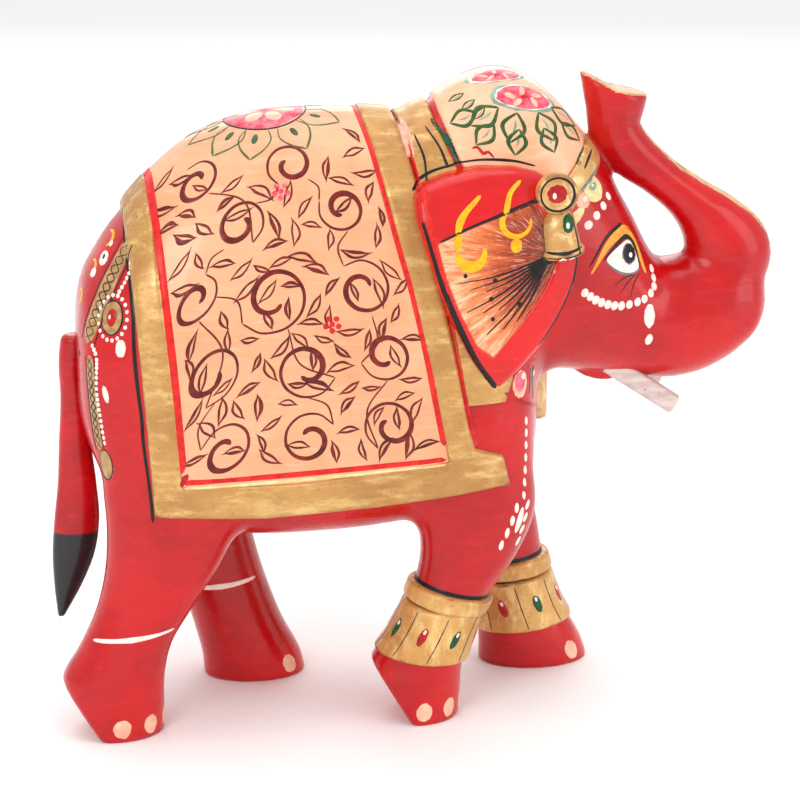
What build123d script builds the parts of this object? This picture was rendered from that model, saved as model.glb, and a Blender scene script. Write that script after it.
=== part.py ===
from build123d import *
from math import cos, sin, pi, atan2, degrees, hypot
import os

# Carved and painted wooden elephant, 6 inch trade size, walking pose.
# +X is the way it faces, +Y its left side, +Z up. The origin is on the
# ground under the middle of its bounding box. All sizes are in mm.

TOTAL_HEIGHT = 152.0       # ground to the tip of the raised trunk
FOOT_OFFSET = 15.5         # centre line to the middle of each leg
LEG_HALF_WIDTH = 9.3       # half the sideways thickness of a lower leg
CLOTH_THICKNESS = 1.6      # how far the saddle cloth field stands proud
BORDER_THICKNESS = 2.2     # how far its gold border stands proud
NECK_THICKNESS = 1.5       # gold neck panel in front of the cloth
CAP_THICKNESS = 0.8        # painted cap on the crown
BAND_THICKNESS = 1.3       # gold band across the forehead
EAR_REACH = 30.0           # centre line to the outermost point of an ear
EAR_DOME = 62.0            # radius of the domed outer face of an ear
EAR_CROWN = (9.5, 107.0)   # outermost point of that face in side view
EAR_SEAT = 17.0            # centre line to the flat back of an ear
EAR_RECESS = 1.0           # depth of the carved panel in the ear
TUSK_RADIUS = 2.3          # half thickness of a tusk stick
TUSK_TENON_RADIUS = 1.6    # turned tenon on the hidden end of a tusk
TUSK_SOCKET_DEPTH = 9.0    # blind hole that takes the tusk tenon
TAIL_TENON_RADIUS = 1.8    # round tenon on the root of the tail
TAIL_SOCKET_DEPTH = 8.0    # blind hole in the rump
GLUE_GAP = 0.08            # glue line round a tenon
RING_THICKNESS = 1.7       # plain anklet ring
CUFF_THICKNESS = 1.3       # jewelled anklet cuff

# torso sections from rump to chest: x, low z, high z, half width
TORSO = [
    (-79.6, 79.0, 96.0, 8.0),
    (-77.6, 70.0, 104.0, 14.5),
    (-73.5, 61.0, 112.0, 19.0),
    (-66.0, 53.0, 122.0, 22.6),
    (-55.0, 47.0, 133.0, 24.6),
    (-41.0, 44.2, 140.0, 25.3),
    (-24.0, 43.8, 141.8, 25.5),
    (-7.0, 45.0, 140.9, 25.2),
    (7.0, 47.5, 139.0, 24.6),
    (17.0, 50.0, 132.0, 22.6),
    (25.0, 54.0, 118.0, 17.4),
    (29.3, 62.0, 100.0, 9.0),
]

# crown to face: x, low z, high z, half width
HEAD = [
    (1.5, 92.0, 142.0, 14.5),
    (5.5, 87.0, 145.5, 17.2),
    (12.0, 83.5, 149.0, 19.2),
    (20.5, 82.0, 150.4, 20.0),
    (29.0, 80.8, 146.6, 19.6),
    (37.0, 79.6, 138.4, 18.2),
    (44.0, 78.6, 128.8, 16.2),
    (50.0, 77.6, 118.6, 14.2),
]

# jaw and root of the trunk, in front of the face: x, low z, high z, half width
SNOUT = [
    (57.0, 76.7, 106.2, 12.4),
    (64.0, 76.8, 105.4, 11.6),
    (71.0, 79.0, 104.6, 10.6),
    (77.0, 82.6, 103.0, 9.0),
    (81.4, 87.0, 100.6, 6.8),
    (84.0, 91.4, 97.6, 3.6),
]

# raised part of the trunk: inner edge (x, z), outer edge (x, z), half thickness
TRUNK = [
    ((66.4, 101.6), (80.6, 94.4), 7.6),
    ((65.6, 110.2), (84.2, 101.6), 7.8),
    ((63.2, 115.8), (78.5, 110.6), 7.2),
    ((59.4, 118.9), (70.6, 119.6), 6.5),
    ((54.0, 122.4), (62.0, 127.6), 6.0),
    ((47.8, 127.6), (56.0, 133.4), 5.8),
    ((42.6, 134.4), (53.0, 138.2), 5.7),
    ((39.2, 142.0), (54.2, 143.4), 5.8),
    ((38.0, 152.4), (57.0, 151.6), 6.0),
]

# legs, top to bottom: x centre, z, half length, half width, tilt of the
# section in degrees (a positive tilt raises its front edge)
NEAR_HIND = [
    (-56.0, 74.0, 17.0, 8.6, 0),
    (-56.5, 60.0, 17.2, 9.2, 0),
    (-58.0, 50.0, 15.2, 9.2, -4),
    (-60.6, 40.0, 13.2, 9.0, -8),
    (-65.0, 30.0, 11.2, 8.8, -12),
    (-69.4, 21.5, 10.6, 8.8, -8),
    (-72.6, 13.5, 11.9, 9.2, -4),
    (-73.0, 6.0, 12.0, 9.4, 0),
    (-72.6, -4.0, 11.4, 9.4, 0),
]
NEAR_FRONT = [
    (10.0, 74.0, 13.0, 8.6, 0),
    (11.5, 60.0, 14.6, 9.2, 0),
    (12.6, 50.0, 13.9, 9.2, 0),
    (11.0, 39.5, 11.4, 9.0, -8),
    (6.6, 30.0, 9.4, 8.6, -14),
    (2.4, 21.0, 9.6, 8.7, -12),
    (-1.6, 13.0, 11.2, 9.2, -6),
    (-2.2, 5.0, 11.2, 9.4, 0),
    (-2.2, -4.0, 10.6, 9.4, 0),
]
FAR_HIND = [
    (-56.0, 74.0, 17.0, 8.6, 0),
    (-55.5, 60.0, 16.2, 9.2, 0),
    (-52.2, 48.0, 13.8, 9.2, 6),
    (-48.2, 36.0, 11.3, 9.0, 9),
    (-44.3, 24.0, 10.6, 8.8, 10),
    (-40.8, 13.5, 10.9, 9.0, 8),
    (-37.6, 4.5, 12.0, 9.3, 0),
    (-36.6, -3.0, 12.6, 9.5, 0),
]
FAR_FRONT = [
    (12.0, 74.0, 13.0, 8.6, 0),
    (14.4, 62.0, 14.4, 9.2, 0),
    (17.0, 50.0, 13.0, 9.2, 6),
    (20.6, 38.0, 12.0, 9.0, 9),
    (24.6, 26.0, 10.2, 8.6, 10),
    (28.0, 15.5, 10.4, 8.8, 8),
    (31.4, 5.5, 12.6, 9.3, 0),
    (32.8, -3.0, 14.0, 9.5, 0),
]

# heel bevels of the two raised near feet: heel point and toe-side point
NEAR_HIND_BEVEL = ((-85.2, 13.6), (-76.2, 0.0))
NEAR_FRONT_BEVEL = ((-13.6, 16.4), (-3.4, 0.0))

# outlines in side view (x, z)
CLOTH_OUTER = [
    (-68.6, 152.0), (-68.0, 132.0), (-66.4, 112.0), (-65.2, 95.0),
    (-64.0, 78.0), (-62.6, 55.0), (-38.0, 54.2), (-10.0, 55.8),
    (19.4, 58.6), (17.6, 66.0), (10.9, 68.2), (9.2, 74.0),
    (6.6, 87.5), (3.8, 101.7), (0.6, 115.7), (-1.9, 129.5),
    (-3.8, 137.3), (-5.6, 143.9), (-7.6, 152.0),
]
CLOTH_FIELD = [
    (-62.4, 152.0), (-61.6, 130.0), (-60.0, 113.0), (-58.7, 97.2),
    (-57.5, 83.2), (-56.1, 62.3), (-30.0, 62.4), (4.6, 65.7),
    (0.2, 87.8), (-3.9, 106.7), (-6.7, 117.1), (-9.0, 126.5),
    (-11.4, 137.0), (-13.9, 145.0), (-16.0, 152.0),
]
NECK_OUTLINE = [
    (-7.6, 152.0), (-5.6, 143.9), (-3.8, 137.3), (-1.9, 129.5),
    (0.6, 115.7), (3.8, 101.7), (6.6, 87.5), (9.2, 74.0),
    (10.9, 68.2), (17.6, 66.0), (16.8, 74.0), (18.0, 84.0),
    (14.0, 100.0), (9.5, 118.0), (6.6, 131.0), (3.4, 141.0), (1.0, 152.0),
]
CAP_OUTLINE = [
    (3.4, 152.0), (4.6, 143.0), (8.2, 133.5), (12.0, 127.5),
    (30.6, 127.0), (35.0, 131.4), (38.0, 134.6), (41.0, 139.0),
    (41.0, 152.0),
]
BAND_OUTLINE = [
    (30.6, 127.0), (35.0, 131.4), (38.0, 134.6), (41.0, 139.0),
    (43.8, 140.0), (46.4, 134.4), (42.0, 129.8), (36.6, 125.4),
    (33.0, 120.6),
]
EAR_OUTLINE = [
    (-3.0, 127.0), (-0.6, 129.6), (4.6, 131.6), (12.0, 133.0),
    (19.6, 132.8), (25.2, 131.4), (30.0, 128.4), (33.4, 122.0),
    (34.8, 114.0), (33.8, 106.8), (30.4, 99.4), (26.0, 92.4),
    (20.6, 85.8), (16.4, 81.6), (14.0, 82.8), (9.6, 89.6),
    (5.2, 98.6), (1.8, 107.0), (-1.0, 116.2), (-2.8, 122.4),
]
EAR_PANEL = [
    (1.6, 118.4), (8.4, 122.0), (16.0, 124.2), (24.0, 125.4),
    (28.2, 119.0), (29.0, 112.6), (26.0, 106.0), (20.6, 98.4),
    (14.6, 90.4), (10.6, 93.6), (6.4, 102.0), (3.4, 110.6),
]
BIB_OUTLINE = [
    (21.6, 84.0), (34.0, 84.0), (33.4, 68.4), (27.6, 69.4), (22.6, 78.4),
]

BOSS_CENTRE = (28.6, 127.8)      # knob over the front of the ear
BOSS_RADIUS = 4.6
BOSS_SEAT = 18.5                 # centre line to the flat back of the knob
BOSS_FACE = 27.2                 # centre line to the face of the knob
BELL_TOP = (29.0, 123.8)         # pendant bell under the knob
BELL_OFFSET = 24.0               # centre line to the axis of the bell
BELL_HEIGHT = 10.4
BELL_TOP_RADIUS = 2.4
BELL_RIM_RADIUS = 4.7
BELL_LEAN = 8.0                  # degrees the bell leans to the front

TUSK_ROOT = (44.6, 8.8, 82.2)    # where a tusk leaves the jaw
TUSK_END = (60.8, 10.8, 71.9)    # middle of its square-cut end

# tail: x centre, z, half length, half thickness
TAIL = [
    (-79.2, 91.0, 3.1, 2.9),
    (-79.6, 86.0, 2.9, 2.9),
    (-79.4, 77.0, 3.0, 2.8),
    (-79.4, 66.0, 3.7, 2.8),
    (-79.2, 56.0, 4.5, 2.9),
    (-79.6, 46.0, 5.3, 3.1),
    (-80.6, 38.0, 4.9, 2.9),
    (-82.2, 30.0, 3.1, 2.0),
    (-84.0, 22.6, 0.7, 0.6),
]
TAIL_TENON_Z = 89.0

# anklets: centre (x, z), tilt, half height along the leg
RIGHT_RING = ((5.6, 29.6), -14.0, 2.1)
RIGHT_CUFF = ((0.6, 19.8), -8.0, 4.6)
LEFT_RING = ((25.2, 25.4), 4.0, 2.1)
LEFT_CUFF = ((28.6, 14.6), 6.0, 4.8)


def egg(x, low, high, half, grow=0.0, wide=0.46, upper=2.15, lower=3.0):
    """Closed section across the body at one x, fuller below than above."""
    low, high, half = low - grow, high + grow, half + grow
    middle = low + (high - low) * wide
    points = []
    for step in range(24):
        angle = 2 * pi * step / 24
        c, s = cos(angle), sin(angle)
        power = upper if s >= 0 else lower
        reach = (high - middle) if s >= 0 else (middle - low)
        radius = (abs(c) ** power + abs(s) ** power) ** (-1 / power)
        points.append((x, half * radius * c, middle + reach * radius * s))
    return Face(Wire([Edge.make_spline([Vector(*p) for p in points], periodic=True)]))


def trunk_section(inner, outer, half):
    """Oval section spanning from the inner to the outer edge of the trunk."""
    cx, cz = (inner[0] + outer[0]) / 2, (inner[1] + outer[1]) / 2
    dx, dz = (inner[0] - outer[0]) / 2, (inner[1] - outer[1]) / 2
    reach = hypot(dx, dz)
    plane = Plane(origin=(cx, 0, cz), x_dir=(dx / reach, 0, dz / reach), z_dir=(dz / reach, 0, -dx / reach))
    return plane * Ellipse(reach, half)


def torso(grow=0.0):
    return loft([egg(x, low, high, half, grow) for x, low, high, half in TORSO])


def drape(grow):
    """Torso with its flanks carried straight down, the shape a cloth hangs in."""
    return loft([egg(x, 30.0 + grow, high, half, grow, (low + 0.46 * (high - low) - 30) / (high - 30), 2.15, 7.0)
                 for x, low, high, half in TORSO[2:10]])


def head_and_snout():
    return loft([egg(x, low, high, half, 0, 0.44, 2.3, 2.3) for x, low, high, half in HEAD + SNOUT])


def raised_trunk():
    return loft([trunk_section(inner, outer, half) for inner, outer, half in TRUNK])


def head_only(grow):
    return loft([egg(x, low, high, half, grow, 0.44, 2.3, 2.3) for x, low, high, half in HEAD])


def leg(rows, side, grow=0.0):
    """Leg as a loft of ovals; side is -1 for the right and 1 for the left."""
    faces = []
    for x, z, half_x, half_y, tilt in rows:
        y = side * (FOOT_OFFSET if z < 55 else FOOT_OFFSET - 1.5)
        plane = Plane(origin=(x, y, z), x_dir=(cos(tilt * pi / 180), 0, sin(tilt * pi / 180)),
                      z_dir=(sin(tilt * pi / 180), 0, -cos(tilt * pi / 180)))
        faces.append(plane * Ellipse(half_x + grow, half_y + grow))
    return loft(faces)


def prism(outline, y_from, y_to):
    """Side-view outline extruded between two y values."""
    face = Face(Wire.make_polygon([Vector(x, y_from, z) for x, z in outline], close=True))
    if face.normal_at().Y < 0:
        face = -face
    return Part() + Solid.extrude(face, Vector(0, y_to - y_from, 0))


def smooth_prism(outline, y_from, y_to):
    wire = Wire([Edge.make_spline([Vector(x, y_from, z) for x, z in outline], periodic=True)])
    face = Face(wire)
    if face.normal_at().Y < 0:
        face = -face
    return Part() + Solid.extrude(face, Vector(0, y_to - y_from, 0))


def below(first, second):
    """Block filling the side-view region under the line first to second."""
    dx, dz = second[0] - first[0], second[1] - first[1]
    a = (first[0] - dx, first[1] - dz)
    b = (second[0] + dx, second[1] + dz)
    return prism([a, b, (b[0], -40.0), (a[0] - 30, -40.0), (a[0] - 30, a[1])], -40, 40)


def slab(centre, tilt, half):
    """Wide slab across a leg, square to a tilted axis."""
    plane = Plane(origin=(centre[0], 0, centre[1]),
                  x_dir=(cos(tilt * pi / 180), 0, sin(tilt * pi / 180)),
                  z_dir=(-sin(tilt * pi / 180), 0, cos(tilt * pi / 180)))
    return plane * Box(60, 90, 2 * half)


def only(shape):
    """The largest solid of a result, as one clean solid."""
    solids = sorted(shape.solids(), key=lambda s: s.volume)
    return solids[-1]


def tusk_axis(side):
    root = Vector(TUSK_ROOT[0], side * TUSK_ROOT[1], TUSK_ROOT[2])
    end = Vector(TUSK_END[0], side * TUSK_END[1], TUSK_END[2])
    return root, end, (end - root).normalized()


def tusk(side, body):
    root, end, along = tusk_axis(side)
    start = root - along * 2.0
    stick = Plane(origin=tuple(start), z_dir=tuple(along)) * Cylinder(
        TUSK_RADIUS, (end - start).length, align=(Align.CENTER, Align.CENTER, Align.MIN))
    tenon = Plane(origin=tuple(start), z_dir=tuple(along * -1)) * Cylinder(
        TUSK_TENON_RADIUS, TUSK_SOCKET_DEPTH - 0.6, align=(Align.CENTER, Align.CENTER, Align.MIN))
    return stick, tenon


def tusk_socket(side):
    root, end, along = tusk_axis(side)
    start = root - along * 2.0
    bore = Plane(origin=tuple(start), z_dir=tuple(along * -1)) * Cylinder(
        TUSK_TENON_RADIUS + GLUE_GAP, TUSK_SOCKET_DEPTH, align=(Align.CENTER, Align.CENTER, Align.MIN))
    mouth = Plane(origin=tuple(start), z_dir=tuple(along)) * Cylinder(
        TUSK_RADIUS, 20.0, align=(Align.CENTER, Align.CENTER, Align.MIN))
    return bore + mouth


os.makedirs("parts", exist_ok=True)
pieces = {}

# ---- carved block: torso, head, trunk and four legs ----
legs = [
    leg(NEAR_HIND, -1) - below(*NEAR_HIND_BEVEL),
    leg(NEAR_FRONT, -1) - below(*NEAR_FRONT_BEVEL),
    leg(FAR_HIND, 1),
    leg(FAR_FRONT, 1),
]
ground = Pos(0, 0, -20) * Box(400, 200, 40)
# the forked tip of the trunk: a tall rear lip, a notch and a short front lip
tip_cut = prism([(36.0, 158.0), (36.6, 151.6), (39.8, 151.6), (42.6, 148.2), (45.8, 146.6),
                 (51.0, 147.0), (55.0, 145.4), (62.0, 142.0), (64.0, 158.0)], -20, 20)
raised = raised_trunk() - tip_cut
body = torso() + head_and_snout()
body = body + raised
for limb in legs:
    body = body + (limb - ground)
body = only(body)

# ---- tail with its round tenon ----
blade = loft([Pos(x, 0, z) * Ellipse(half_x, half_y) for x, z, half_x, half_y in TAIL])
TAIL_FACE_X = TORSO[0][0]
flat = Pos(TAIL_FACE_X + 20, 0, 90) * Box(40, 60, 40)
blade = only(blade - body - flat)
tail_tenon = Plane(origin=(TAIL_FACE_X - 1.4, 0, TAIL_TENON_Z), z_dir=(1, 0, 0)) * Cylinder(
    TAIL_TENON_RADIUS, TAIL_SOCKET_DEPTH - 0.6 + 1.4, align=(Align.CENTER, Align.CENTER, Align.MIN))
tail_socket = Plane(origin=(TAIL_FACE_X - 1.4, 0, TAIL_TENON_Z), z_dir=(1, 0, 0)) * Cylinder(
    TAIL_TENON_RADIUS + GLUE_GAP, TAIL_SOCKET_DEPTH + 1.4, align=(Align.CENTER, Align.CENTER, Align.MIN))
body = body - tail_socket
pieces["tail"] = blade + tail_tenon

# ---- tusks in drilled sockets ----
for side, name in ((-1, "right"), (1, "left")):
    stick, tenon = tusk(side, body)
    body = body - tusk_socket(side)
    pieces[name + "_tusk"] = stick + tenon
body = only(body)
core = body
cutters = []


def trimmed(shape):
    for cutter in cutters:
        shape = shape - cutter
    return only(shape)


# ---- ears, knobs and bells: plain solids let into the head ----
for side, name in ((-1, "right"), (1, "left")):
    near, far = (EAR_SEAT, 40.0) if side > 0 else (-40.0, -EAR_SEAT)
    dome_centre = (EAR_CROWN[0], side * (EAR_REACH - EAR_DOME), EAR_CROWN[1])
    dome = Pos(*dome_centre) * Sphere(EAR_DOME)
    seat = smooth_prism(EAR_OUTLINE, near, far)
    recess = smooth_prism(EAR_PANEL, near, far) - (Pos(*dome_centre) * Sphere(EAR_DOME - EAR_RECESS))
    boss = Plane(origin=(BOSS_CENTRE[0], side * BOSS_SEAT, BOSS_CENTRE[1]), z_dir=(0, side, 0)) * Cylinder(
        BOSS_RADIUS, BOSS_FACE - BOSS_SEAT, align=(Align.CENTER, Align.CENTER, Align.MIN))
    lean = BELL_LEAN * pi / 180
    bell_plane = Plane(origin=(BELL_TOP[0], side * BELL_OFFSET, BELL_TOP[1]), z_dir=(sin(lean), 0, -cos(lean)))
    bell = bell_plane * Cone(BELL_TOP_RADIUS, BELL_RIM_RADIUS, BELL_HEIGHT,
                             align=(Align.CENTER, Align.CENTER, Align.MIN))
    bell = bell - boss
    ear = (seat & dome) - recess - boss - bell
    rim = boss.edges().filter_by(GeomType.CIRCLE).sort_by(Axis.Y)[-1 if side > 0 else 0]
    pieces[name + "_ear"] = only(ear)
    pieces[name + "_ear_boss"] = only(fillet(rim, 1.2))
    pieces[name + "_bell"] = only(bell)
    body = only(body - seat - boss - bell)
    cutters += [seat, boss, bell]
pieces["carved_body"] = body

# ---- saddle cloth, its border and the neck panel ----
field = prism(CLOTH_FIELD, -40, 40)
frame = prism(CLOTH_OUTER, -40, 40) - field
pieces["saddle_cloth"] = trimmed((drape(CLOTH_THICKNESS) & field) - core)
pieces["saddle_border"] = trimmed((drape(BORDER_THICKNESS) & frame) - core)
neck = (torso(NECK_THICKNESS) + head_only(NECK_THICKNESS)) & prism(NECK_OUTLINE, -40, 40)
pieces["neck_panel"] = trimmed(neck - core)

# ---- cap and forehead band ----
cap = head_only(CAP_THICKNESS) & prism(CAP_OUTLINE, -40, 40)
pieces["head_cap"] = trimmed(cap - core)
band = head_only(BAND_THICKNESS) & prism(BAND_OUTLINE, -40, 40)
pieces["forehead_band"] = trimmed(band - core)

# ---- chest plate ----
bib = torso(1.8) + head_only(1.2)
bib = (bib & prism(BIB_OUTLINE, -13, 13)) - core
pieces["chest_plate"] = only(bib)

# ---- anklets ----
for name, rows, side, ring, cuff in (("right", NEAR_FRONT, -1, RIGHT_RING, RIGHT_CUFF),
                                     ("left", FAR_FRONT, 1, LEFT_RING, LEFT_CUFF)):
    inner = leg(rows, side)
    for kind, where, thick in (("ring", ring, RING_THICKNESS), ("cuff", cuff, CUFF_THICKNESS)):
        hoop = (leg(rows, side, thick) & slab(*where)) - inner
        pieces[name + "_anklet_" + kind] = only(hoop)

for name, solid in sorted(pieces.items()):
    export_step(solid if isinstance(solid, Part) else Part(solid.wrapped), "parts/" + name + ".step")
    box = solid.bounding_box()
    print(f"{name:22s} vol {solid.volume:10.1f}  x {box.min.X:7.2f} {box.max.X:7.2f}"
          f"  y {box.min.Y:7.2f} {box.max.Y:7.2f}  z {box.min.Z:7.2f} {box.max.Z:7.2f}"
          f"  solids {len(solid.solids())} ok {solid.is_valid}")
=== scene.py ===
import math
import bpy
import numpy as np
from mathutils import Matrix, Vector


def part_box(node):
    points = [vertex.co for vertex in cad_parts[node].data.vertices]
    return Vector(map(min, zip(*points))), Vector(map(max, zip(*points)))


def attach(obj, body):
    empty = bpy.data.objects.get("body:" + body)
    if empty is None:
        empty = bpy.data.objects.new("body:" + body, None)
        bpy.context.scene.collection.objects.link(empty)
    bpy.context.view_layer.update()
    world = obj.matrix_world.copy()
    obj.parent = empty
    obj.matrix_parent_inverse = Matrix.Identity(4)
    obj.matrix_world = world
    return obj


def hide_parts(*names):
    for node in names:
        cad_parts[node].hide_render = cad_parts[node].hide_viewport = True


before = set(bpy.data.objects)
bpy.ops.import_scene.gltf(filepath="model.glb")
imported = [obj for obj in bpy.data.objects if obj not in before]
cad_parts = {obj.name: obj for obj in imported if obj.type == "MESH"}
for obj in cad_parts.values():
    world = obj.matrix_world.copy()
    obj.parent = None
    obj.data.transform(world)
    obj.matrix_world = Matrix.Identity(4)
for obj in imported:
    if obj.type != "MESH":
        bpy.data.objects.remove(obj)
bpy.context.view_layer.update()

# Painted wooden elephant. Shapes are worked out in millimetres in the CAD
# frame and turned into metres when a mesh is made.
MM = 0.001
COARSE = 1.0
RNG = np.random.default_rng(7)

# ---------------------------------------------------------------- sections
# torso, rump to chest: x, low z, high z, half width
TORSO = [
    (-79.6, 79.0, 96.0, 8.0), (-77.6, 70.0, 104.0, 14.5), (-73.5, 61.0, 112.0, 19.0),
    (-66.0, 53.0, 122.0, 22.6), (-55.0, 47.0, 133.0, 24.6), (-41.0, 44.2, 140.0, 25.3),
    (-24.0, 43.8, 141.8, 25.5), (-7.0, 45.0, 140.9, 25.2), (7.0, 47.5, 139.0, 24.6),
    (17.0, 50.0, 132.0, 22.6), (25.0, 54.0, 118.0, 17.4), (29.3, 62.0, 100.0, 9.0),
]
# head and root of the trunk: x, low z, high z, half width
HEAD = [
    (1.5, 92.0, 142.0, 14.5), (5.5, 87.0, 145.5, 17.2), (12.0, 83.5, 149.0, 19.2),
    (20.5, 82.0, 150.4, 20.0), (29.0, 80.8, 146.6, 19.6), (37.0, 79.6, 138.4, 18.2),
    (44.0, 78.6, 128.8, 16.2), (50.0, 77.6, 118.6, 14.2), (57.0, 76.7, 106.2, 12.4),
    (64.0, 76.8, 105.4, 11.6), (71.0, 79.0, 104.6, 10.6), (77.0, 82.6, 103.0, 9.0),
    (81.4, 87.0, 100.6, 6.8), (84.0, 91.4, 97.6, 3.6),
]
# raised trunk: inner edge x, z, outer edge x, z, half thickness
TRUNK = [
    (66.4, 101.6, 80.6, 94.4, 7.6), (65.6, 110.2, 84.2, 101.6, 7.8),
    (63.2, 115.8, 78.5, 110.6, 7.2), (59.4, 118.9, 70.6, 119.6, 6.5),
    (53.2, 122.8, 62.0, 127.6, 6.0), (45.8, 128.0, 56.0, 133.4, 5.9),
    (41.4, 134.8, 53.0, 138.2, 5.8), (40.0, 142.0, 54.2, 143.4, 5.8),
    (38.0, 153.4, 57.0, 152.6, 6.0),
]
# legs, top to bottom: z, x centre, half length, half width, y centre
NEAR_HIND = [
    (76.0, -56.0, 17.0, 8.6, -14.0), (60.0, -56.5, 17.2, 9.4, -15.0), (50.0, -58.0, 15.2, 9.3, -15.5),
    (40.0, -60.6, 13.2, 9.0, -15.5), (30.0, -65.0, 11.2, 8.8, -15.5), (21.5, -69.4, 10.6, 8.8, -15.5),
    (13.5, -72.6, 11.9, 9.2, -15.5), (6.0, -73.0, 12.0, 9.4, -15.5), (-4.0, -72.6, 11.4, 9.4, -15.5),
]
NEAR_FRONT = [
    (76.0, 10.0, 13.0, 8.6, -14.0), (60.0, 11.5, 14.6, 9.4, -15.0), (50.0, 12.6, 13.9, 9.3, -15.5),
    (39.5, 11.0, 11.4, 9.0, -15.5), (30.0, 6.6, 9.4, 8.6, -15.5), (21.0, 2.4, 9.6, 8.7, -15.5),
    (13.0, -1.6, 11.2, 9.2, -15.5), (5.0, -2.2, 11.2, 9.4, -15.5), (-4.0, -2.2, 10.6, 9.4, -15.5),
]
FAR_HIND = [
    (76.0, -56.0, 17.0, 8.6, 14.0), (60.0, -55.5, 16.2, 9.4, 15.0), (48.0, -52.2, 13.8, 9.2, 15.5),
    (36.0, -48.2, 11.3, 9.0, 15.6), (24.0, -44.3, 10.6, 8.8, 15.8), (13.5, -40.8, 10.9, 8.8, 16.0),
    (4.5, -37.6, 12.0, 8.9, 16.0), (-3.0, -36.6, 12.6, 9.0, 16.0),
]
FAR_FRONT = [
    (76.0, 12.0, 13.0, 8.6, 14.0), (62.0, 14.4, 14.4, 9.4, 15.0), (50.0, 17.0, 13.0, 9.2, 15.5),
    (38.0, 20.6, 12.0, 9.0, 15.5), (26.0, 24.6, 10.2, 8.6, 15.5), (15.5, 28.0, 10.4, 8.8, 15.5),
    (5.5, 31.4, 12.6, 9.3, 15.5), (-3.0, 32.8, 14.0, 9.5, 15.5),
]
# tail: z, x centre, half length, half width
TAIL = [
    (93.0, -78.6, 3.0, 2.9), (86.0, -79.6, 2.9, 2.9), (77.0, -79.4, 3.0, 2.8),
    (66.0, -79.4, 3.7, 2.8), (56.0, -79.2, 4.5, 2.9), (46.0, -79.6, 5.3, 3.1),
    (38.0, -80.6, 4.9, 2.9), (30.0, -82.2, 3.1, 2.0), (22.6, -84.0, 0.7, 0.6),
]
# side-view outlines (x, z)
CLOTH_OUTER = [
    (-68.6, 152.0), (-68.0, 132.0), (-66.4, 112.0), (-65.2, 95.0), (-64.0, 78.0), (-62.6, 55.0),
    (-38.0, 54.2), (-10.0, 55.8), (19.4, 58.6), (17.6, 66.0), (10.9, 68.2), (9.2, 74.0),
    (6.6, 87.5), (3.8, 101.7), (0.6, 115.7), (-1.9, 129.5), (-3.8, 137.3), (-5.6, 143.9), (-7.6, 152.0),
]
CLOTH_FIELD = [
    (-62.4, 152.0), (-61.6, 130.0), (-60.0, 113.0), (-58.7, 97.2), (-57.5, 83.2), (-56.1, 62.3),
    (-30.0, 62.4), (4.6, 65.7), (0.2, 87.8), (-3.9, 106.7), (-6.7, 117.1), (-9.0, 126.5),
    (-11.4, 137.0), (-13.9, 145.0), (-16.0, 152.0),
]
NECK = [
    (-7.2, 152.0), (-5.2, 143.9), (-3.4, 137.3), (-1.5, 129.5), (1.0, 115.7), (4.2, 101.7),
    (7.0, 87.5), (9.6, 74.0), (11.4, 68.6), (17.6, 66.4), (16.8, 74.0), (20.0, 84.0),
    (16.0, 100.0), (12.0, 118.0), (8.0, 131.0), (3.6, 141.0), (1.4, 152.0),
]
CAP = [
    (3.4, 154.0), (4.6, 143.0), (8.2, 133.5), (12.0, 127.5), (30.6, 127.0), (35.0, 131.4),
    (38.0, 134.6), (41.0, 139.0), (44.0, 154.0),
]
BAND = [
    (30.6, 127.0), (35.0, 131.4), (38.0, 134.6), (41.0, 139.0), (43.8, 140.0), (46.4, 134.4),
    (42.0, 129.8), (36.6, 125.4), (33.0, 120.6),
]
EAR = [
    (-3.0, 127.0), (-0.6, 129.6), (4.6, 131.6), (12.0, 133.0), (19.6, 132.8), (25.2, 131.4),
    (30.0, 128.4), (33.4, 122.0), (34.8, 114.0), (33.8, 106.8), (30.4, 99.4), (26.0, 92.4),
    (20.6, 85.8), (16.4, 81.6), (14.0, 82.8), (9.6, 89.6), (5.2, 98.6), (1.8, 107.0),
    (-1.0, 116.2), (-2.8, 122.4),
]
EAR_PANEL = [
    (1.6, 117.4), (8.4, 120.4), (16.0, 123.0), (24.0, 125.4), (28.6, 119.0), (29.0, 112.6),
    (26.0, 106.0), (20.6, 98.4), (14.6, 90.4), (10.6, 93.6), (6.4, 102.0), (3.4, 110.0),
]

# Rings and cuffs on the front legs: leg, middle (x, z), tilt in degrees, half height, thickness
HOOPS = [
    (NEAR_FRONT, (5.6, 29.6), -14.0, 2.2, 1.7), (NEAR_FRONT, (1.1, 21.7), -8.0, 6.6, 1.3),
    (FAR_FRONT, (25.2, 25.4), 4.0, 2.2, 1.7), (FAR_FRONT, (28.2, 16.3), 6.0, 6.6, 1.3),
]

# How far each feature stands proud of the block, in millimetres
CLOTH_PROUD, BORDER_PROUD, PANEL_PROUD, CAP_PROUD = 1.6, 2.3, 1.3, 0.95
FEATURE_DEPTH, CHEST_DEPTH = 1.8, 2.5
# Torso section: share of its height where it is widest, and how square it is above that.
# The cloth hangs squarer below, down to a foot at this height.
WIDEST, TOP_ROUND = 0.46, 2.15
HANG_SQUARE, HANG_FOOT = 7.0, 30.0
# Millimetres on a sheet that stand for one degree round a leg
DEGREE = 0.16

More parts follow.
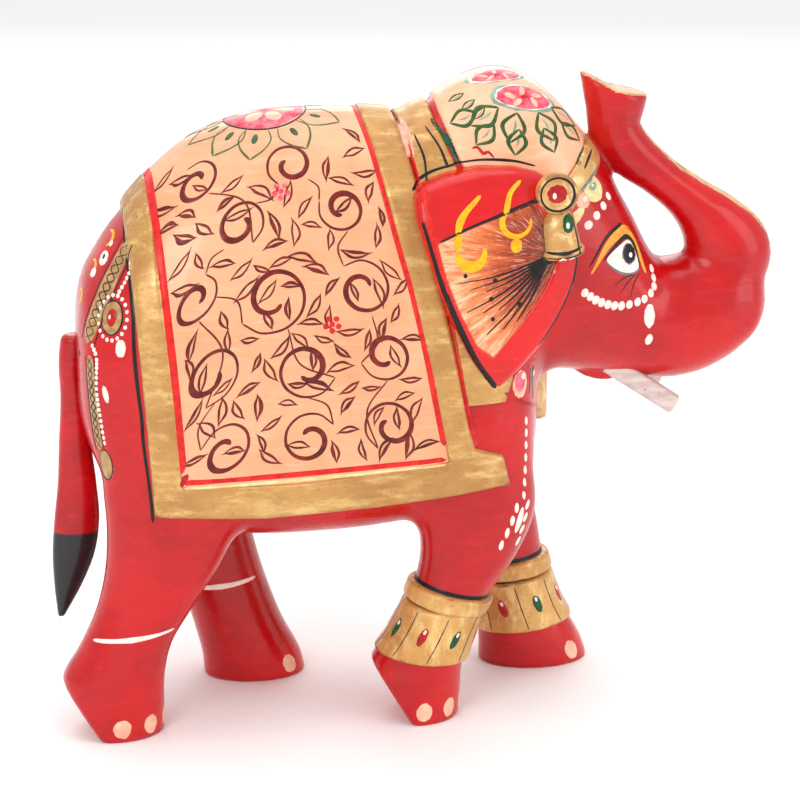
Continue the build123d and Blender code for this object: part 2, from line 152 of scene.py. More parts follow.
# ------------------------------------------------------------ field helpers
def curve(rows, t):
    """Smooth columns of a table, read at t along its first column."""
    data = np.array(sorted(rows), float)
    knots, values = data[:, 0], data[:, 1:]
    tangents = np.gradient(values, knots, axis=0)
    t = np.clip(t, knots[0], knots[-1])
    i = np.clip(np.searchsorted(knots, t) - 1, 0, len(knots) - 2)
    gap = knots[i + 1] - knots[i]
    u = (t - knots[i]) / gap
    columns = []
    for k in range(values.shape[1]):
        a, b = values[i, k], values[i + 1, k]
        ta, tb = tangents[i, k] * gap, tangents[i + 1, k] * gap
        columns.append(a * (2 * u**3 - 3 * u**2 + 1) + ta * (u**3 - 2 * u**2 + u)
                       + b * (3 * u**2 - 2 * u**3) + tb * (u**3 - u**2))
    return columns


def merge(a, b, k):
    """Smooth union of two fields, rounded over k."""
    h = np.clip(0.5 + 0.5 * (b - a) / k, 0, 1)
    return b * (1 - h) + a * h - k * h * (1 - h)


def meet(a, b, k):
    """Smooth intersection of two fields, with an edge rounded over k."""
    return -merge(-a, -b, k)


def egg(y, z, low, high, half, wide, upper, lower):
    """Rough distance to a section that is fuller below than above."""
    middle = low + (high - low) * wide
    above = z >= middle
    reach = np.where(above, high - middle, middle - low)
    p = np.where(above, upper, lower)
    a = np.maximum(np.abs(y) / half, 1e-3)
    b = np.maximum(np.abs(z - middle) / reach, 1e-3)
    r = (a**p + b**p) ** (1 / p)
    slope = r ** (1 - p) * np.hypot(a ** (p - 1) / half, b ** (p - 1) / reach)
    return (r - 1) / slope


def oval(u, v, half_u, half_v):
    r = np.maximum(np.hypot(u / half_u, v / half_v), 1e-3)
    return (r - 1) * r / np.hypot(u / half_u**2, v / half_v**2 + 1e-9)


def torso_field(x, y, z):
    low, high, half = curve(TORSO, x)
    flank = egg(y, z, low, high, half, WIDEST, TOP_ROUND, 3.0)
    ends = np.maximum(-78.4 - x, x - 28.6)
    return meet(flank, ends, 5.0)


def drape_field(x, y, z, grow):
    """The torso with its flanks carried straight down, as the cloth hangs."""
    low, high, half = curve(TORSO[2:10], x)
    wide = (low + WIDEST * (high - low) - HANG_FOOT) / (high - HANG_FOOT)
    return egg(y, z, HANG_FOOT, high, half, wide, TOP_ROUND, HANG_SQUARE) - grow


def head_field(x, y, z):
    low, high, half = curve(HEAD, x)
    return meet(egg(y, z, low, high, half, 0.44, 2.3, 2.3), np.maximum(2.5 - x, x - 84.0), 3.0)


def trunk_field(x, y, z):
    rows = []
    for i, row in enumerate(TRUNK):
        rows.append((float(i), *row))
    fine = curve(rows, np.linspace(0, len(TRUNK) - 1, 70))
    cx, cz = (fine[0] + fine[2]) / 2, (fine[1] + fine[3]) / 2
    wide, thick = np.hypot(fine[0] - fine[2], fine[1] - fine[3]) / 2, fine[4]
    shape = np.broadcast(x, y, z).shape
    forward = np.broadcast_to(x, shape) > 33.0
    if not forward.all():
        out = np.full(shape, 30.0)
        if forward.any():
            out[forward] = trunk_field(*[np.broadcast_to(v, shape)[forward] for v in (x, y, z)])
        return out
    best = np.full(np.broadcast(x, z).shape, 1e9)
    width, depth = np.ones_like(best), np.ones_like(best)
    for i in range(len(cx) - 1):
        ex, ez = cx[i + 1] - cx[i], cz[i + 1] - cz[i]
        t = np.clip(((x - cx[i]) * ex + (z - cz[i]) * ez) / (ex * ex + ez * ez), 0, 1)
        d = np.hypot(x - cx[i] - t * ex, z - cz[i] - t * ez)
        closer = d < best
        best = np.where(closer, d, best)
        width = np.where(closer, wide[i] + t * (wide[i + 1] - wide[i]), width)
        depth = np.where(closer, thick[i] + t * (thick[i + 1] - thick[i]), depth)
    return oval(best, y, width, depth)


def leg_field(rows, x, y, z):
    cx, half_x, half_y, cy = curve(rows, z)
    return oval(x - cx, y - cy, half_x, half_y)


def flat_cut(x, z, first, second):
    """Signed distance from a straight side-view cut; positive is cut away."""
    dx, dz = second[0] - first[0], second[1] - first[1]
    size = math.hypot(dx, dz)
    return ((x - first[0]) * dz - (z - first[1]) * dx) / size


def outline_field(outline, x, z):
    """Signed distance to a closed side-view outline."""
    best = np.full(np.broadcast(x, z).shape, 1e9)
    inside = np.zeros(best.shape, bool)
    for (ax, az), (bx, bz) in zip(outline, outline[1:] + outline[:1]):
        ex, ez = bx - ax, bz - az
        t = np.clip(((x - ax) * ex + (z - az) * ez) / (ex * ex + ez * ez), 0, 1)
        best = np.minimum(best, np.hypot(x - ax - t * ex, z - az - t * ez))
        if ez != 0:
            crosses = (az > z) != (bz > z)
            inside ^= crosses & (x < ax + (z - az) * ex / ez)
    return np.where(inside, -best, best)


# ------------------------------------------------------------- solid fields
def core_field(x, y, z):
    """Torso and head as one form, which the relief features follow."""
    return merge(torso_field(x, y, z), head_field(x, y, z), 7.0)


def body_field(x, y, z):
    ahead, up = x - 42.6, z - 79.4
    lip = oval(np.abs(ahead * 0.97 - up * 0.25), 0 * y + up * 0.97 + ahead * 0.25, 4.8, 1.7)
    field = merge(core_field(x, y, z), meet(lip, np.abs(y) - 6.5, 1.5), 1.0)
    mouth = flat_cut(x, z, (46.0, 146.2), (36.6, 151.8))
    mouth = np.minimum(mouth, flat_cut(x, z, (58.0, 143.8), (45.4, 146.4)))
    trunk = meet(trunk_field(x, y, z), np.maximum(mouth, z - 151.6), 1.2)
    field = merge(field, trunk, 4.0)
    for rows, heel, toe in ((NEAR_HIND, (-85.2, 13.6), (-76.2, 0.0)),
                            (NEAR_FRONT, (-13.6, 16.4), (-3.4, 0.0)),
                            (FAR_HIND, None, None), (FAR_FRONT, None, None)):
        limb = meet(leg_field(rows, x, y, z), z - 74.0, 4.0)
        if heel:
            limb = meet(limb, flat_cut(x, z, heel, toe), 1.4)
        field = merge(field, limb, 5.0)
    return meet(field, -z, 0.7)


def shell(field, depth):
    """Hollows a solid field out, keeping a skin of the given depth inside the block."""
    return lambda x, y, z: np.maximum(field(x, y, z), -(core_field(x, y, z) + depth))


def cloth_field(x, y, z):
    return meet(drape_field(x, y, z, CLOTH_PROUD), outline_field(CLOTH_FIELD, x, z) - 0.3, 0.5)


def border_field(x, y, z):
    ring = meet(outline_field(CLOTH_OUTER, x, z), -outline_field(CLOTH_FIELD, x, z), 0.8)
    return meet(drape_field(x, y, z, BORDER_PROUD), ring, 1.5)


def neck_field(x, y, z):
    return meet(core_field(x, y, z) - PANEL_PROUD, outline_field(NECK, x, z), 1.0)


def cap_field(x, y, z):
    return meet(core_field(x, y, z) - CAP_PROUD, outline_field(CAP, x, z), 0.8)


def band_field(x, y, z):
    return meet(core_field(x, y, z) - PANEL_PROUD, outline_field(BAND, x, z), 1.4)


def bib_field(x, y, z):
    """Pointed plate hung over the chest, curved round the throat."""
    front = (x - (32.0 - 0.062 * y**2)) * 0.85
    hem = (66.6 + 0.84 * np.abs(y) - z) * 0.77
    plate = meet(front, np.maximum(hem, z - 85.0), 1.0)
    return meet(plate, np.maximum(np.abs(y) - 14.0, -front - 5.0), 1.0)


def ear_field(x, y, z):
    y = np.abs(y)
    dome = np.sqrt((x - 9.5) ** 2 + (y + 32.0) ** 2 + (z - 107.0) ** 2) - 62.0
    edge = outline_field(EAR, x, z)
    plate = meet(dome, edge, 2.2)
    plate = meet(plate, 15.5 - y, 1.0)
    hollow = meet(outline_field(EAR_PANEL, x, z), -(dome + 1.0), 0.6)
    return meet(plate, -hollow, 0.8)


def boss_field(x, y, z):
    y = np.abs(y)
    r = np.hypot(x - 28.6, z - 127.8)
    disc = meet(r - 4.6 + 0.6 * np.maximum(24.8 - y, 0), y - 27.0, 1.6)
    rim = np.hypot(r - 3.9, y - 26.9) - 0.75
    return meet(merge(disc, rim, 0.8), 17.5 - y, 0.5)


def bell_field(x, y, z):
    y = np.abs(y)
    lean = math.radians(8.0)
    along = (x - 29.0) * math.sin(lean) - (z - 123.8) * math.cos(lean)
    across = (x - 29.0) * math.cos(lean) + (z - 123.8) * math.sin(lean)
    r = np.hypot(across, y - 24.0)
    wide = curve([(0.0, 2.5), (2.5, 3.6), (6.0, 4.2), (9.0, 4.6), (10.8, 5.0)], along)[0]
    cup = meet(r - wide, np.maximum(along - 10.6, -along), 0.8)
    bead = np.hypot(r - 4.4, along - 10.0) - 0.9
    return merge(cup, bead, 0.6)


def hoop_field(rows, centre, tilt, half, thick, x, y, z):
    angle = math.radians(tilt)
    along = (z - centre[1]) * math.cos(angle) - (x - centre[0]) * math.sin(angle)
    leg = leg_field(rows, x, y, z)
    hoop = meet(leg - thick, np.abs(along) - half, 1.2)
    return np.maximum(hoop, -(leg + 1.2))


def tail_field(x, y, z):
    cx, half_x, half_y = curve(TAIL, z)
    blade = oval(x - cx, y, half_x, half_y)
    return meet(blade, np.maximum(z - 92.0, 22.0 - z), 1.6)


def tusk_field(x, y, z):
    y = np.abs(y)
    root, end = np.array([44.6, 6.0, 82.2]), np.array([60.8, 10.0, 71.9])
    axis = (end - root) / np.linalg.norm(end - root)
    side = np.cross(axis, [0.0, 1.0, 0.0])
    side /= np.linalg.norm(side)
    third = np.cross(axis, side)
    px, py, pz = x - end[0], y - end[1], z - end[2]
    along = px * axis[0] + py * axis[1] + pz * axis[2]
    u = np.abs(px * side[0] + py * side[1] + pz * side[2])
    v = np.abs(px * third[0] + py * third[1] + pz * third[2])
    stick = ((u / 2.3) ** 4 + (v / 2.2) ** 4) ** 0.25 * 2.25 - 2.25
    return meet(stick, np.maximum(along, -along - 19.0), 0.6)


# ------------------------------------------------------------------ meshing
def net(values, low, step):
    """Quads of the zero surface of a grid of values, one vertex to a cell."""
    shape = np.array(values.shape)
    inner = shape - 1
    ids, places, quads = [], [], []
    for axis in range(3):
        o1, o2 = [k for k in range(3) if k != axis]
        first = np.take(values, range(shape[axis] - 1), axis)
        second = np.take(values, range(1, shape[axis]), axis)
        edges = np.argwhere((first < 0) != (second < 0))
        a = first[tuple(edges.T)]
        b = second[tuple(edges.T)]
        spot = edges.astype(float)
        spot[:, axis] += a / (a - b)
        ring = []
        for d1, d2 in ((0, 0), (1, 0), (1, 1), (0, 1)):
            cell = edges.copy()
            cell[:, o1] -= d1
            cell[:, o2] -= d2
            flat = (cell[:, 0] * inner[1] + cell[:, 1]) * inner[2] + cell[:, 2]
            ok = ((cell >= 0) & (cell < inner)).all(1)
            ids.append(flat[ok])
            places.append(spot[ok])
            ring.append(np.where(ok, flat, -1))
        ring = np.array(ring).T
        flip = (a < 0) if axis != 1 else (a >= 0)
        ring = np.where(flip[:, None], ring, ring[:, ::-1])
        quads.append(ring[(ring >= 0).all(1)])
    ids, places, quads = np.concatenate(ids), np.concatenate(places), np.concatenate(quads)
    cells, index = np.unique(ids, return_inverse=True)
    count = np.bincount(index)
    verts = np.stack([np.bincount(index, places[:, k]) / count for k in range(3)], 1)
    return np.array(low) + verts * step, np.searchsorted(cells, quads)


def gradient(field, spots, h):
    """Gradient of a field, from differences over h either way."""
    x, y, z = spots.T
    return np.stack([field(x + h, y, z) - field(x - h, y, z), field(x, y + h, z) - field(x, y - h, z),
                     field(x, y, z + h) - field(x, y, z - h)], 1) / (2 * h)


def settle(field, verts, rounds=3):
    """Moves vertices toward the zero surface of a field, in short steps."""
    for _ in range(rounds):
        g = gradient(field, verts, 0.05)
        size = np.maximum((g**2).sum(1), 0.25)
        verts = verts - g * np.clip(field(*verts.T) / size, -0.5, 0.5)[:, None]
    return verts


def make_object(name, verts, faces, material, replaces=()):
    mesh = bpy.data.meshes.new(name)
    mesh.from_pydata((verts * MM).tolist(), [], faces)
    mesh.validate()
    mesh.polygons.foreach_set("use_smooth", [True] * len(mesh.polygons))
    mesh.materials.append(material)
    piece = bpy.data.objects.new(name, mesh)
    bpy.context.scene.collection.objects.link(piece)
    if replaces:
        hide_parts(*replaces)
    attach(piece, "root")
    return piece


def carve(name, field, low, high, step, material, replaces=()):
    """Solid piece from a field, meshed inside a box given in millimetres."""
    step = step * COARSE
    axes = [np.arange(low[k] - 2 * step, high[k] + 3 * step, step) for k in range(3)]
    x, y, z = axes[0][:, None, None], axes[1][None, :, None], axes[2][None, None, :]
    values = np.broadcast_to(field(x, y, z), [len(a) for a in axes]).astype(float)
    verts, faces = net(values, [a[0] for a in axes], step)
    verts = settle(field, verts)
    return make_object(name, verts, faces.tolist(), material, replaces)


# ---------------------------------------------------------------- materials
class Shader:
    """Short names for building a node material."""

    def __init__(self, material):
        self.material = material
        self.nodes, self.links = material.node_tree.nodes, material.node_tree.links
        self.surface = self.nodes["Principled BSDF"]
        self.place = self.nodes.new("ShaderNodeTexCoord").outputs["Object"]

    @classmethod
    def named(cls, name):
        """Starts a new material."""
        material = bpy.data.materials.new(name)
        material.use_nodes = True
        return cls(material)

    def add(self, kind, settings=None, **inputs):
        node = self.nodes.new(kind)
        for key, value in (settings or {}).items():
            setattr(node, key, value)
        for key, value in inputs.items():
            self.put(node, key.replace("_", " "), value)
        return node

    def put(self, node, key, value):
        socket = node.inputs[int(key)] if key.isdigit() else node.inputs[key]
        if hasattr(value, "is_output"):
            self.links.new(value, socket)
        else:
            socket.default_value = value

    def noise(self, scale, stretch=(1, 1, 1), detail=4.0, rough=0.55, distort=0.0):
        where = self.add("ShaderNodeMapping", Vector=self.place, Scale=stretch).outputs["Vector"]
        node = self.add("ShaderNodeTexNoise", Vector=where, Scale=scale, Detail=detail,
                        Roughness=rough, Distortion=distort)
        return node.outputs["Fac"]

    def span(self, value, low, high, to_low=0.0, to_high=1.0):
        node = self.add("ShaderNodeMapRange", {"interpolation_type": "SMOOTHSTEP"}, Value=value,
                        From_Min=low, From_Max=high, To_Min=to_low, To_Max=to_high)
        return node.outputs["Result"]

    def math(self, kind, a, b=0.0):
        node = self.nodes.new("ShaderNodeMath")
        node.operation = kind
        self.put(node, "0", a)
        self.put(node, "1", b)
        return node.outputs["Value"]

    def mix(self, amount, a, b, blend="MIX"):
        node = self.nodes.new("ShaderNodeMix")
        node.data_type = "RGBA"
        node.blend_type = blend
        self.put(node, "0", amount)
        self.put(node, "6", a)
        self.put(node, "7", b)
        return node.outputs[2]

    def attribute(self, name):
        return self.add("ShaderNodeAttribute", {"attribute_name": name}).outputs["Fac"]

    def bump(self, height, distance, strength=1.0, below=None):
        node = self.add("ShaderNodeBump", Height=height, Distance=distance, Strength=strength)
        if below is not None:
            self.put(node, "Normal", below)
        return node.outputs["Normal"]

    def done(self, colour, rough, normal, **constants):
        self.put(self.surface, "Base Color", colour)
        self.put(self.surface, "Roughness", rough)
        if normal is not None:
            self.put(self.surface, "Normal", normal)
        for key, value in constants.items():
            self.put(self.surface, key.replace("_", " "), value)
        return self.material


def rgb(r, g, b):
    """Linear colour from ordinary 0 to 255 values."""
    out = []
    for c in (r, g, b):
        c /= 255.0
        out.append(c / 12.92 if c <= 0.04045 else ((c + 0.055) / 1.055) ** 2.4)
    return (*out, 1.0)


WOOD = rgb(226, 178, 130)
WOOD_DARK = rgb(176, 118, 74)


def bare_wood(s):
    """Pale carved wood with fine grain, as it shows where paint has chipped."""
    grain = s.noise(190, (0.25, 3.0, 3.0), 5.0, 0.6, 0.4)
    return s.mix(s.span(grain, 0.35, 0.7), WOOD, WOOD_DARK)


def lacquer(name, base, deep, light, gloss=(0.2, 0.36), wear=0.5, coat=0.6, streak=(0.35, 1, 1.6)):
    """Brushed gloss paint over wood: patchy colour, brush streaks, chips on edges."""
    s = Shader.named(name)
    patch = s.noise(34, detail=5.0, rough=0.6)
    brush = s.noise(420, streak, 3.0, 0.6)
    speck = s.noise(1500, detail=2.0)
    colour = s.mix(s.span(patch, 0.36, 0.62), deep, base)
    colour = s.mix(s.span(brush, 0.5, 0.78, 0.0, 0.45), colour, light)
    colour = s.mix(s.span(speck, 0.62, 0.72, 0.0, 0.35), colour, deep)
    edge = s.attribute("edge")
    chip = s.math("MULTIPLY", edge, s.span(s.noise(260, detail=6.0, rough=0.7), 0.42, 0.62))
    chipped = s.span(chip, 0.62 - 0.3 * wear, 0.72 - 0.3 * wear)
    scraped = s.math("ADD", s.attribute("bare"), s.span(s.noise(180, detail=5.0), 0.2, 0.8, -0.3, 0.3))
    chipped = s.math("MAXIMUM", chipped, s.span(scraped, 0.55, 0.65))
    colour = s.mix(chipped, colour, bare_wood(s))
    grain = s.noise(150, (0.3, 2.2, 4.0), 4.0, 0.6, 0.3)
    crack = s.span(s.noise(95, (0.12, 1.0, 5.0), 3.0, 0.5, 0.2), 0.70, 0.74)
    normal = s.bump(grain, 0.00022, 0.5)
    normal = s.bump(brush, 0.00007, 0.6, normal)
    normal = s.bump(s.math("SUBTRACT", 1.0, crack), 0.00012, 0.5, normal)
    normal = s.bump(s.math("SUBTRACT", 1.0, chipped), 0.00012, 0.8, normal)
    rough = s.span(s.noise(120, detail=4.0), 0.3, 0.7, gloss[0], gloss[1])
    rough = s.math("ADD", rough, s.math("MULTIPLY", chipped, 0.35))
    return s.done(colour, rough, normal, Coat_Weight=coat, Coat_Roughness=0.08, Coat_IOR=1.45,
                  Specular_IOR_Level=0.3)


def gold(name, base, deep, light, streak=(0.25, 1.0, 1.0), rough=(0.3, 0.5), metal=0.3):
    """Brushed gold paint: streaky, darker where thin, with specks of grime."""
    s = Shader.named(name)
    brush = s.noise(380, streak, 5.0, 0.65, 0.2)
    patch = s.noise(60, detail=4.0)
    speck = s.noise(1300, detail=2.0)
    colour = s.mix(s.span(patch, 0.34, 0.66), deep, base)
    colour = s.mix(s.span(brush, 0.45, 0.75, 0.0, 0.8), colour, light)
    colour = s.mix(s.span(speck, 0.6, 0.72, 0.0, 0.4), colour, rgb(120, 78, 36))
    edge = s.attribute("edge")
    worn = s.span(s.math("MULTIPLY", edge, s.noise(300, detail=5.0)), 0.36, 0.5, 0.0, 0.8)
    colour = s.mix(worn, colour, rgb(150, 92, 48))
    normal = s.bump(brush, 0.0001, 0.5)
    normal = s.bump(s.noise(900, detail=3.0), 0.00006, 0.6, normal)
    return s.done(colour, s.span(brush, 0.3, 0.7, rough[1], rough[0]), normal, Metallic=metal,
                  Coat_Weight=0.25, Coat_Roughness=0.2)


def ink(name, base, deep, rough=0.35):
    """One loaded brush colour: thin and thick places along each stroke."""
    s = Shader.named(name)
    thin = s.noise(500, detail=4.0, rough=0.6)
    colour = s.mix(s.span(thin, 0.35, 0.65), base, deep)
    normal = s.bump(s.noise(1600, detail=2.0), 0.00004, 0.5)
    return s.done(colour, s.span(thin, 0.3, 0.7, rough - 0.06, rough + 0.1), normal,
                  Coat_Weight=0.2, Coat_Roughness=0.12, Specular_IOR_Level=0.25)


def tail_paint():
    """Red tail whose tuft is dipped in black, with a brushed edge between."""
    s = Shader(lacquer("tail_paint", rgb(204, 12, 20), rgb(170, 6, 14), rgb(220, 44, 48), coat=0.35))
    red = s.surface.inputs["Base Color"].links[0].from_socket
    up = s.add("ShaderNodeSeparateXYZ", Vector=s.place).outputs["Z"]
    ragged = s.add("ShaderNodeTexNoise", Scale=700).outputs["Fac"]
    height = s.math("ADD", s.math("MULTIPLY", ragged, 0.0012), up)
    black = s.add("ShaderNodeMapRange", Value=height, From_Min=0.0450, From_Max=0.0444).outputs["Result"]
    s.links.new(s.mix(black, red, rgb(34, 34, 38)), s.surface.inputs["Base Color"])
    return s.material


def ear_paint():
    """Red ear with a sunk panel brushed from dark brown at the bell out to peach."""
    s = Shader(lacquer("ear_paint", rgb(220, 8, 14), rgb(196, 4, 10), rgb(232, 44, 46),
                       wear=0.3, coat=0.4))
    red = s.surface.inputs["Base Color"].links[0].from_socket
    split = s.add("ShaderNodeSeparateXYZ", Vector=s.place)
    ahead = s.math("SUBTRACT", split.outputs["X"], 0.0300)
    up = s.math("SUBTRACT", split.outputs["Z"], 0.1135)
    reach = s.math("SQRT", s.math("ADD", s.math("MULTIPLY", ahead, ahead), s.math("MULTIPLY", up, up)))
    turn = s.math("ARCTAN2", up, ahead)
    fan = s.add("ShaderNodeCombineXYZ", X=s.math("MULTIPLY", turn, 13.0), Y=s.math("MULTIPLY", reach, 90.0))
    streak = s.add("ShaderNodeTexNoise", Vector=fan.outputs["Vector"], Scale=1.0, Detail=4.0, Roughness=0.6)
    ragged = s.math("ADD", reach, s.span(streak.outputs["Fac"], 0.25, 0.75, -0.005, 0.005))
    colour = s.mix(s.span(ragged, 0.002, 0.013), rgb(74, 18, 16), rgb(158, 44, 22))
    colour = s.mix(s.span(ragged, 0.011, 0.021), colour, rgb(226, 118, 62))
    colour = s.mix(s.span(ragged, 0.019, 0.029), colour, rgb(250, 196, 148))
    fine = s.add("ShaderNodeTexNoise", Vector=fan.outputs["Vector"], Scale=2.7, Detail=5.0, Roughness=0.7)
    colour = s.mix(s.span(fine.outputs["Fac"], 0.5, 0.64, 0.0, 0.75), colour, rgb(206, 96, 34))
    colour = s.mix(s.span(fine.outputs["Fac"], 0.46, 0.36, 0.0, 0.6), colour, rgb(252, 216, 176))
    s.links.new(s.mix(s.span(s.attribute("panel"), 0.25, -0.25), red, colour), s.surface.inputs["Base Color"])
    return s.material


def tusk_wood():
    s = Shader.named("tusk_wood")
    grain = s.noise(260, (0.5, 2.5, 2.5), 5.0, 0.6)
    pit = s.span(s.noise(700, detail=2.0), 0.7, 0.74)
    colour = s.mix(s.span(grain, 0.35, 0.7), rgb(222, 206, 200), rgb(196, 172, 164))
    colour = s.mix(s.math("MULTIPLY", pit, 0.8), colour, rgb(120, 84, 76))
    normal = s.bump(grain, 0.0002, 0.6)
    return s.done(colour, s.span(grain, 0.3, 0.7, 0.42, 0.6), s.bump(pit, 0.0001, -0.6, normal))


def floor_paint():
    s = Shader.named("floor_paint")
    cloud = s.noise(3.0, detail=3.0)
    colour = s.mix(cloud, (0.95, 0.95, 0.95, 1), (0.98, 0.98, 0.975, 1))
    return s.done(colour, s.span(cloud, 0.2, 0.8, 0.75, 0.9), None)


RED = lacquer("red_lacquer", rgb(202, 8, 15), rgb(176, 4, 11), rgb(216, 32, 36), coat=0.35)
EAR_RED = ear_paint()
PEACH = lacquer("peach_field", rgb(240, 172, 130), rgb(232, 156, 112), rgb(248, 194, 158),
                gloss=(0.24, 0.4), wear=0.25, coat=0.5, streak=(0.3, 1, 2.0))
CREAM = lacquer("cap_cream", rgb(243, 188, 150), rgb(236, 168, 126), rgb(250, 212, 184),
                gloss=(0.24, 0.38), wear=0.2, coat=0.6)
GOLD = gold("gold_border", rgb(200, 150, 82), rgb(178, 124, 62), rgb(236, 198, 126))
GOLD_TRIM = gold("gold_trim", rgb(222, 176, 108), rgb(202, 148, 80), rgb(248, 224, 164), (1, 1, 1))
GOLD_ANKLET = gold("gold_anklet", rgb(216, 164, 92), rgb(194, 136, 66), rgb(242, 210, 140), (1, 1, 0.4))
TAIL_PAINT = tail_paint()
TUSK = tusk_wood()


def store(piece, name, values):
    layer = piece.data.attributes.new(name, "FLOAT", "POINT")
    layer.data.foreach_set("value", np.asarray(values, np.float32))


def places(piece):
    """Vertex places in millimetres, and vertex normals."""
    count = len(piece.data.vertices)
    spots, normals = np.empty(count * 3), np.empty(count * 3)
    piece.data.vertices.foreach_get("co", spots)
    piece.data.vertices.foreach_get("normal", normals)
    return spots.reshape(-1, 3) / MM, normals.reshape(-1, 3)


def edge_wear(piece, reach=3):
    """Stores how sharply the surface turns outward, so wear can follow edges."""
    mesh = piece.data
    count = len(mesh.vertices)
    place, normal = places(piece)
    pairs = np.empty(len(mesh.edges) * 2, int)
    mesh.edges.foreach_get("vertices", pairs)
    a, b = pairs.reshape(-1, 2).T
    degree = np.maximum(np.bincount(a, minlength=count) + np.bincount(b, minlength=count), 1)
    turn = ((normal[b] - normal[a]) * (place[b] - place[a])).sum(1)
    turn /= np.maximum(((place[b] - place[a]) ** 2).sum(1), 1e-6)
    value = (np.bincount(a, turn, count) + np.bincount(b, turn, count)) / degree
    for _ in range(reach):
        spread = np.bincount(a, value[b], count) + np.bincount(b, value[a], count)
        value = 0.5 * value + 0.5 * spread / degree
    store(piece, "edge", np.clip((value - 0.12) / 0.5, 0, 1))


def bare_trunk(piece):
    """Marks the outer rim, tip and underside of the trunk, where the paint never reached."""
    spots, normals = places(piece)
    x, y, z = spots.T
    rim = np.clip((0.62 - np.abs(normals[:, 1])) * 3, 0, 1) * (normals[:, 0] > 0.1) * (z > 104)
    rim = rim * (x > np.where(z < 122, 60, 52))
    under = np.clip((-normals[:, 2] - 0.72) * 6, 0, 1) * (x > 62) * (z < 86)
    tip = np.clip((normals[:, 2] - 0.45) * 5, 0, 1) * (z > 142) * (x > 35)
    store(piece, "bare", np.maximum.reduce([rim, under, tip]))


# ------------------------------------------------------------------- pieces
def box_mm(node, pad=2.0):
    low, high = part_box(node)
    return [v / MM - pad for v in low], [v / MM + pad for v in high]


def carve_node(node, field, step, material, pad=2.0):
    low, high = box_mm(node, pad)
    piece = carve(node + "_carving", field, low, high, step, material, (node,))
    edge_wear(piece)
    return piece


def one_side(field, side):
    """Keeps the half of a two-sided field that lies on one side of the body."""
    return lambda x, y, z: np.maximum(field(x, y, z), 1.0 - side * y)


def hoop(rows, centre, tilt, half, thick):
    return lambda x, y, z: hoop_field(rows, centre, tilt, half, thick, x, y, z)


def build_pieces():
    bare_trunk(carve_node("carved_body", body_field, 0.85, RED))
    carve_node("tail", tail_field, 0.6, TAIL_PAINT)
    for node, field, depth, step, material, slot in (
            ("saddle_cloth", cloth_field, FEATURE_DEPTH, 0.7, PEACH, "peach_field"),
            ("saddle_border", border_field, FEATURE_DEPTH, 0.6, GOLD, "gold_cloth"),
            ("neck_panel", neck_field, FEATURE_DEPTH, 0.6, GOLD, "gold_cloth"),
            ("head_cap", cap_field, FEATURE_DEPTH, 0.6, CREAM, "peach_field"),
            ("forehead_band", band_field, FEATURE_DEPTH, 0.5, GOLD_TRIM, "gold_trim"),
            ("chest_plate", bib_field, CHEST_DEPTH, 0.5, GOLD_TRIM, "gold_trim")):
        carve_node(node, shell(field, depth), step, material)
    for side, name in ((-1, "right_"), (1, "left_")):
        ear = carve_node(name + "ear", one_side(ear_field, side), 0.5, EAR_RED)
        spots = places(ear)[0]
        store(ear, "panel", outline_field(EAR_PANEL, spots[:, 0], spots[:, 2]))
        for node, field, step, material, slot in (
                ("ear_boss", boss_field, 0.35, GOLD_TRIM, "gold_trim"),
                ("bell", bell_field, 0.35, GOLD_TRIM, "gold_trim"),
                ("tusk", tusk_field, 0.4, TUSK, "tusk_wood")):
            carve_node(name + node, one_side(field, side), step, material)
    nodes = ("right_anklet_ring", "right_anklet_cuff", "left_anklet_ring", "left_anklet_cuff")
    for node, values in zip(nodes, HOOPS):
        carve_node(node, hoop(*values), 0.45, GOLD_ANKLET, 4.0)


# ------------------------------------------------------------ painted detail
INKS = {
    "maroon": ((128, 30, 22), (84, 14, 12)), "redline": ((232, 36, 28), (198, 16, 18)),
    "sage": ((150, 178, 158), (120, 150, 128)), "green": ((62, 96, 46), (40, 72, 34)),
    "forest": ((16, 92, 50), (12, 62, 40)), "moss": ((92, 112, 66), (66, 88, 50)),
    "white": ((252, 240, 230), (246, 220, 206)), "rose": ((222, 44, 70), (236, 120, 136)),
    "blush": ((246, 196, 168), (240, 172, 140)), "crimson": ((196, 22, 28), (158, 14, 20)),
    "black": ((10, 8, 10), (26, 12, 14)), "ink": ((34, 28, 32), (18, 14, 18)),
    "slate": ((128, 134, 140), (96, 100, 108)), "yellow": ((252, 190, 14), (246, 160, 8)),
    "orange": ((248, 170, 66), (236, 146, 44)), "cream": ((248, 226, 172), (232, 196, 128)),
    "khaki": ((196, 156, 104), (160, 120, 74)), "salmon": ((244, 150, 132), (246, 186, 168)),
}
INK_PAINT = {}
SINK, FILM, LAYER = -0.05, 0.07, 0.035


def ink_paint(name):
    if name not in INK_PAINT:
        base, deep = INKS[name]
        INK_PAINT[name] = ink("paint_" + name, rgb(*base), rgb(*deep))
    return INK_PAINT[name]


def spline(points, gap=0.6, closed=False):
    """Smooth curve through flat points, sampled about every gap millimetres."""
    p = np.array(points, float)
    p = np.vstack([p[-1], p, p[0], p[1]]) if closed else np.vstack([2 * p[0] - p[1], p, 2 * p[-1] - p[-2]])
    out = []
    for a, b, c, d in zip(p, p[1:], p[2:], p[3:]):
        n = max(2, int(np.hypot(*(c - b)) / gap) + 1)
        t = np.linspace(0, 1, n, endpoint=False)[:, None]
        out.append(0.5 * (2 * b + (c - a) * t + (2 * a - 5 * b + 4 * c - d) * t**2
                          + (3 * b - a - 3 * c + d) * t**3))
    if not closed:
        out.append(p[-2:-1])
    return np.vstack(out)


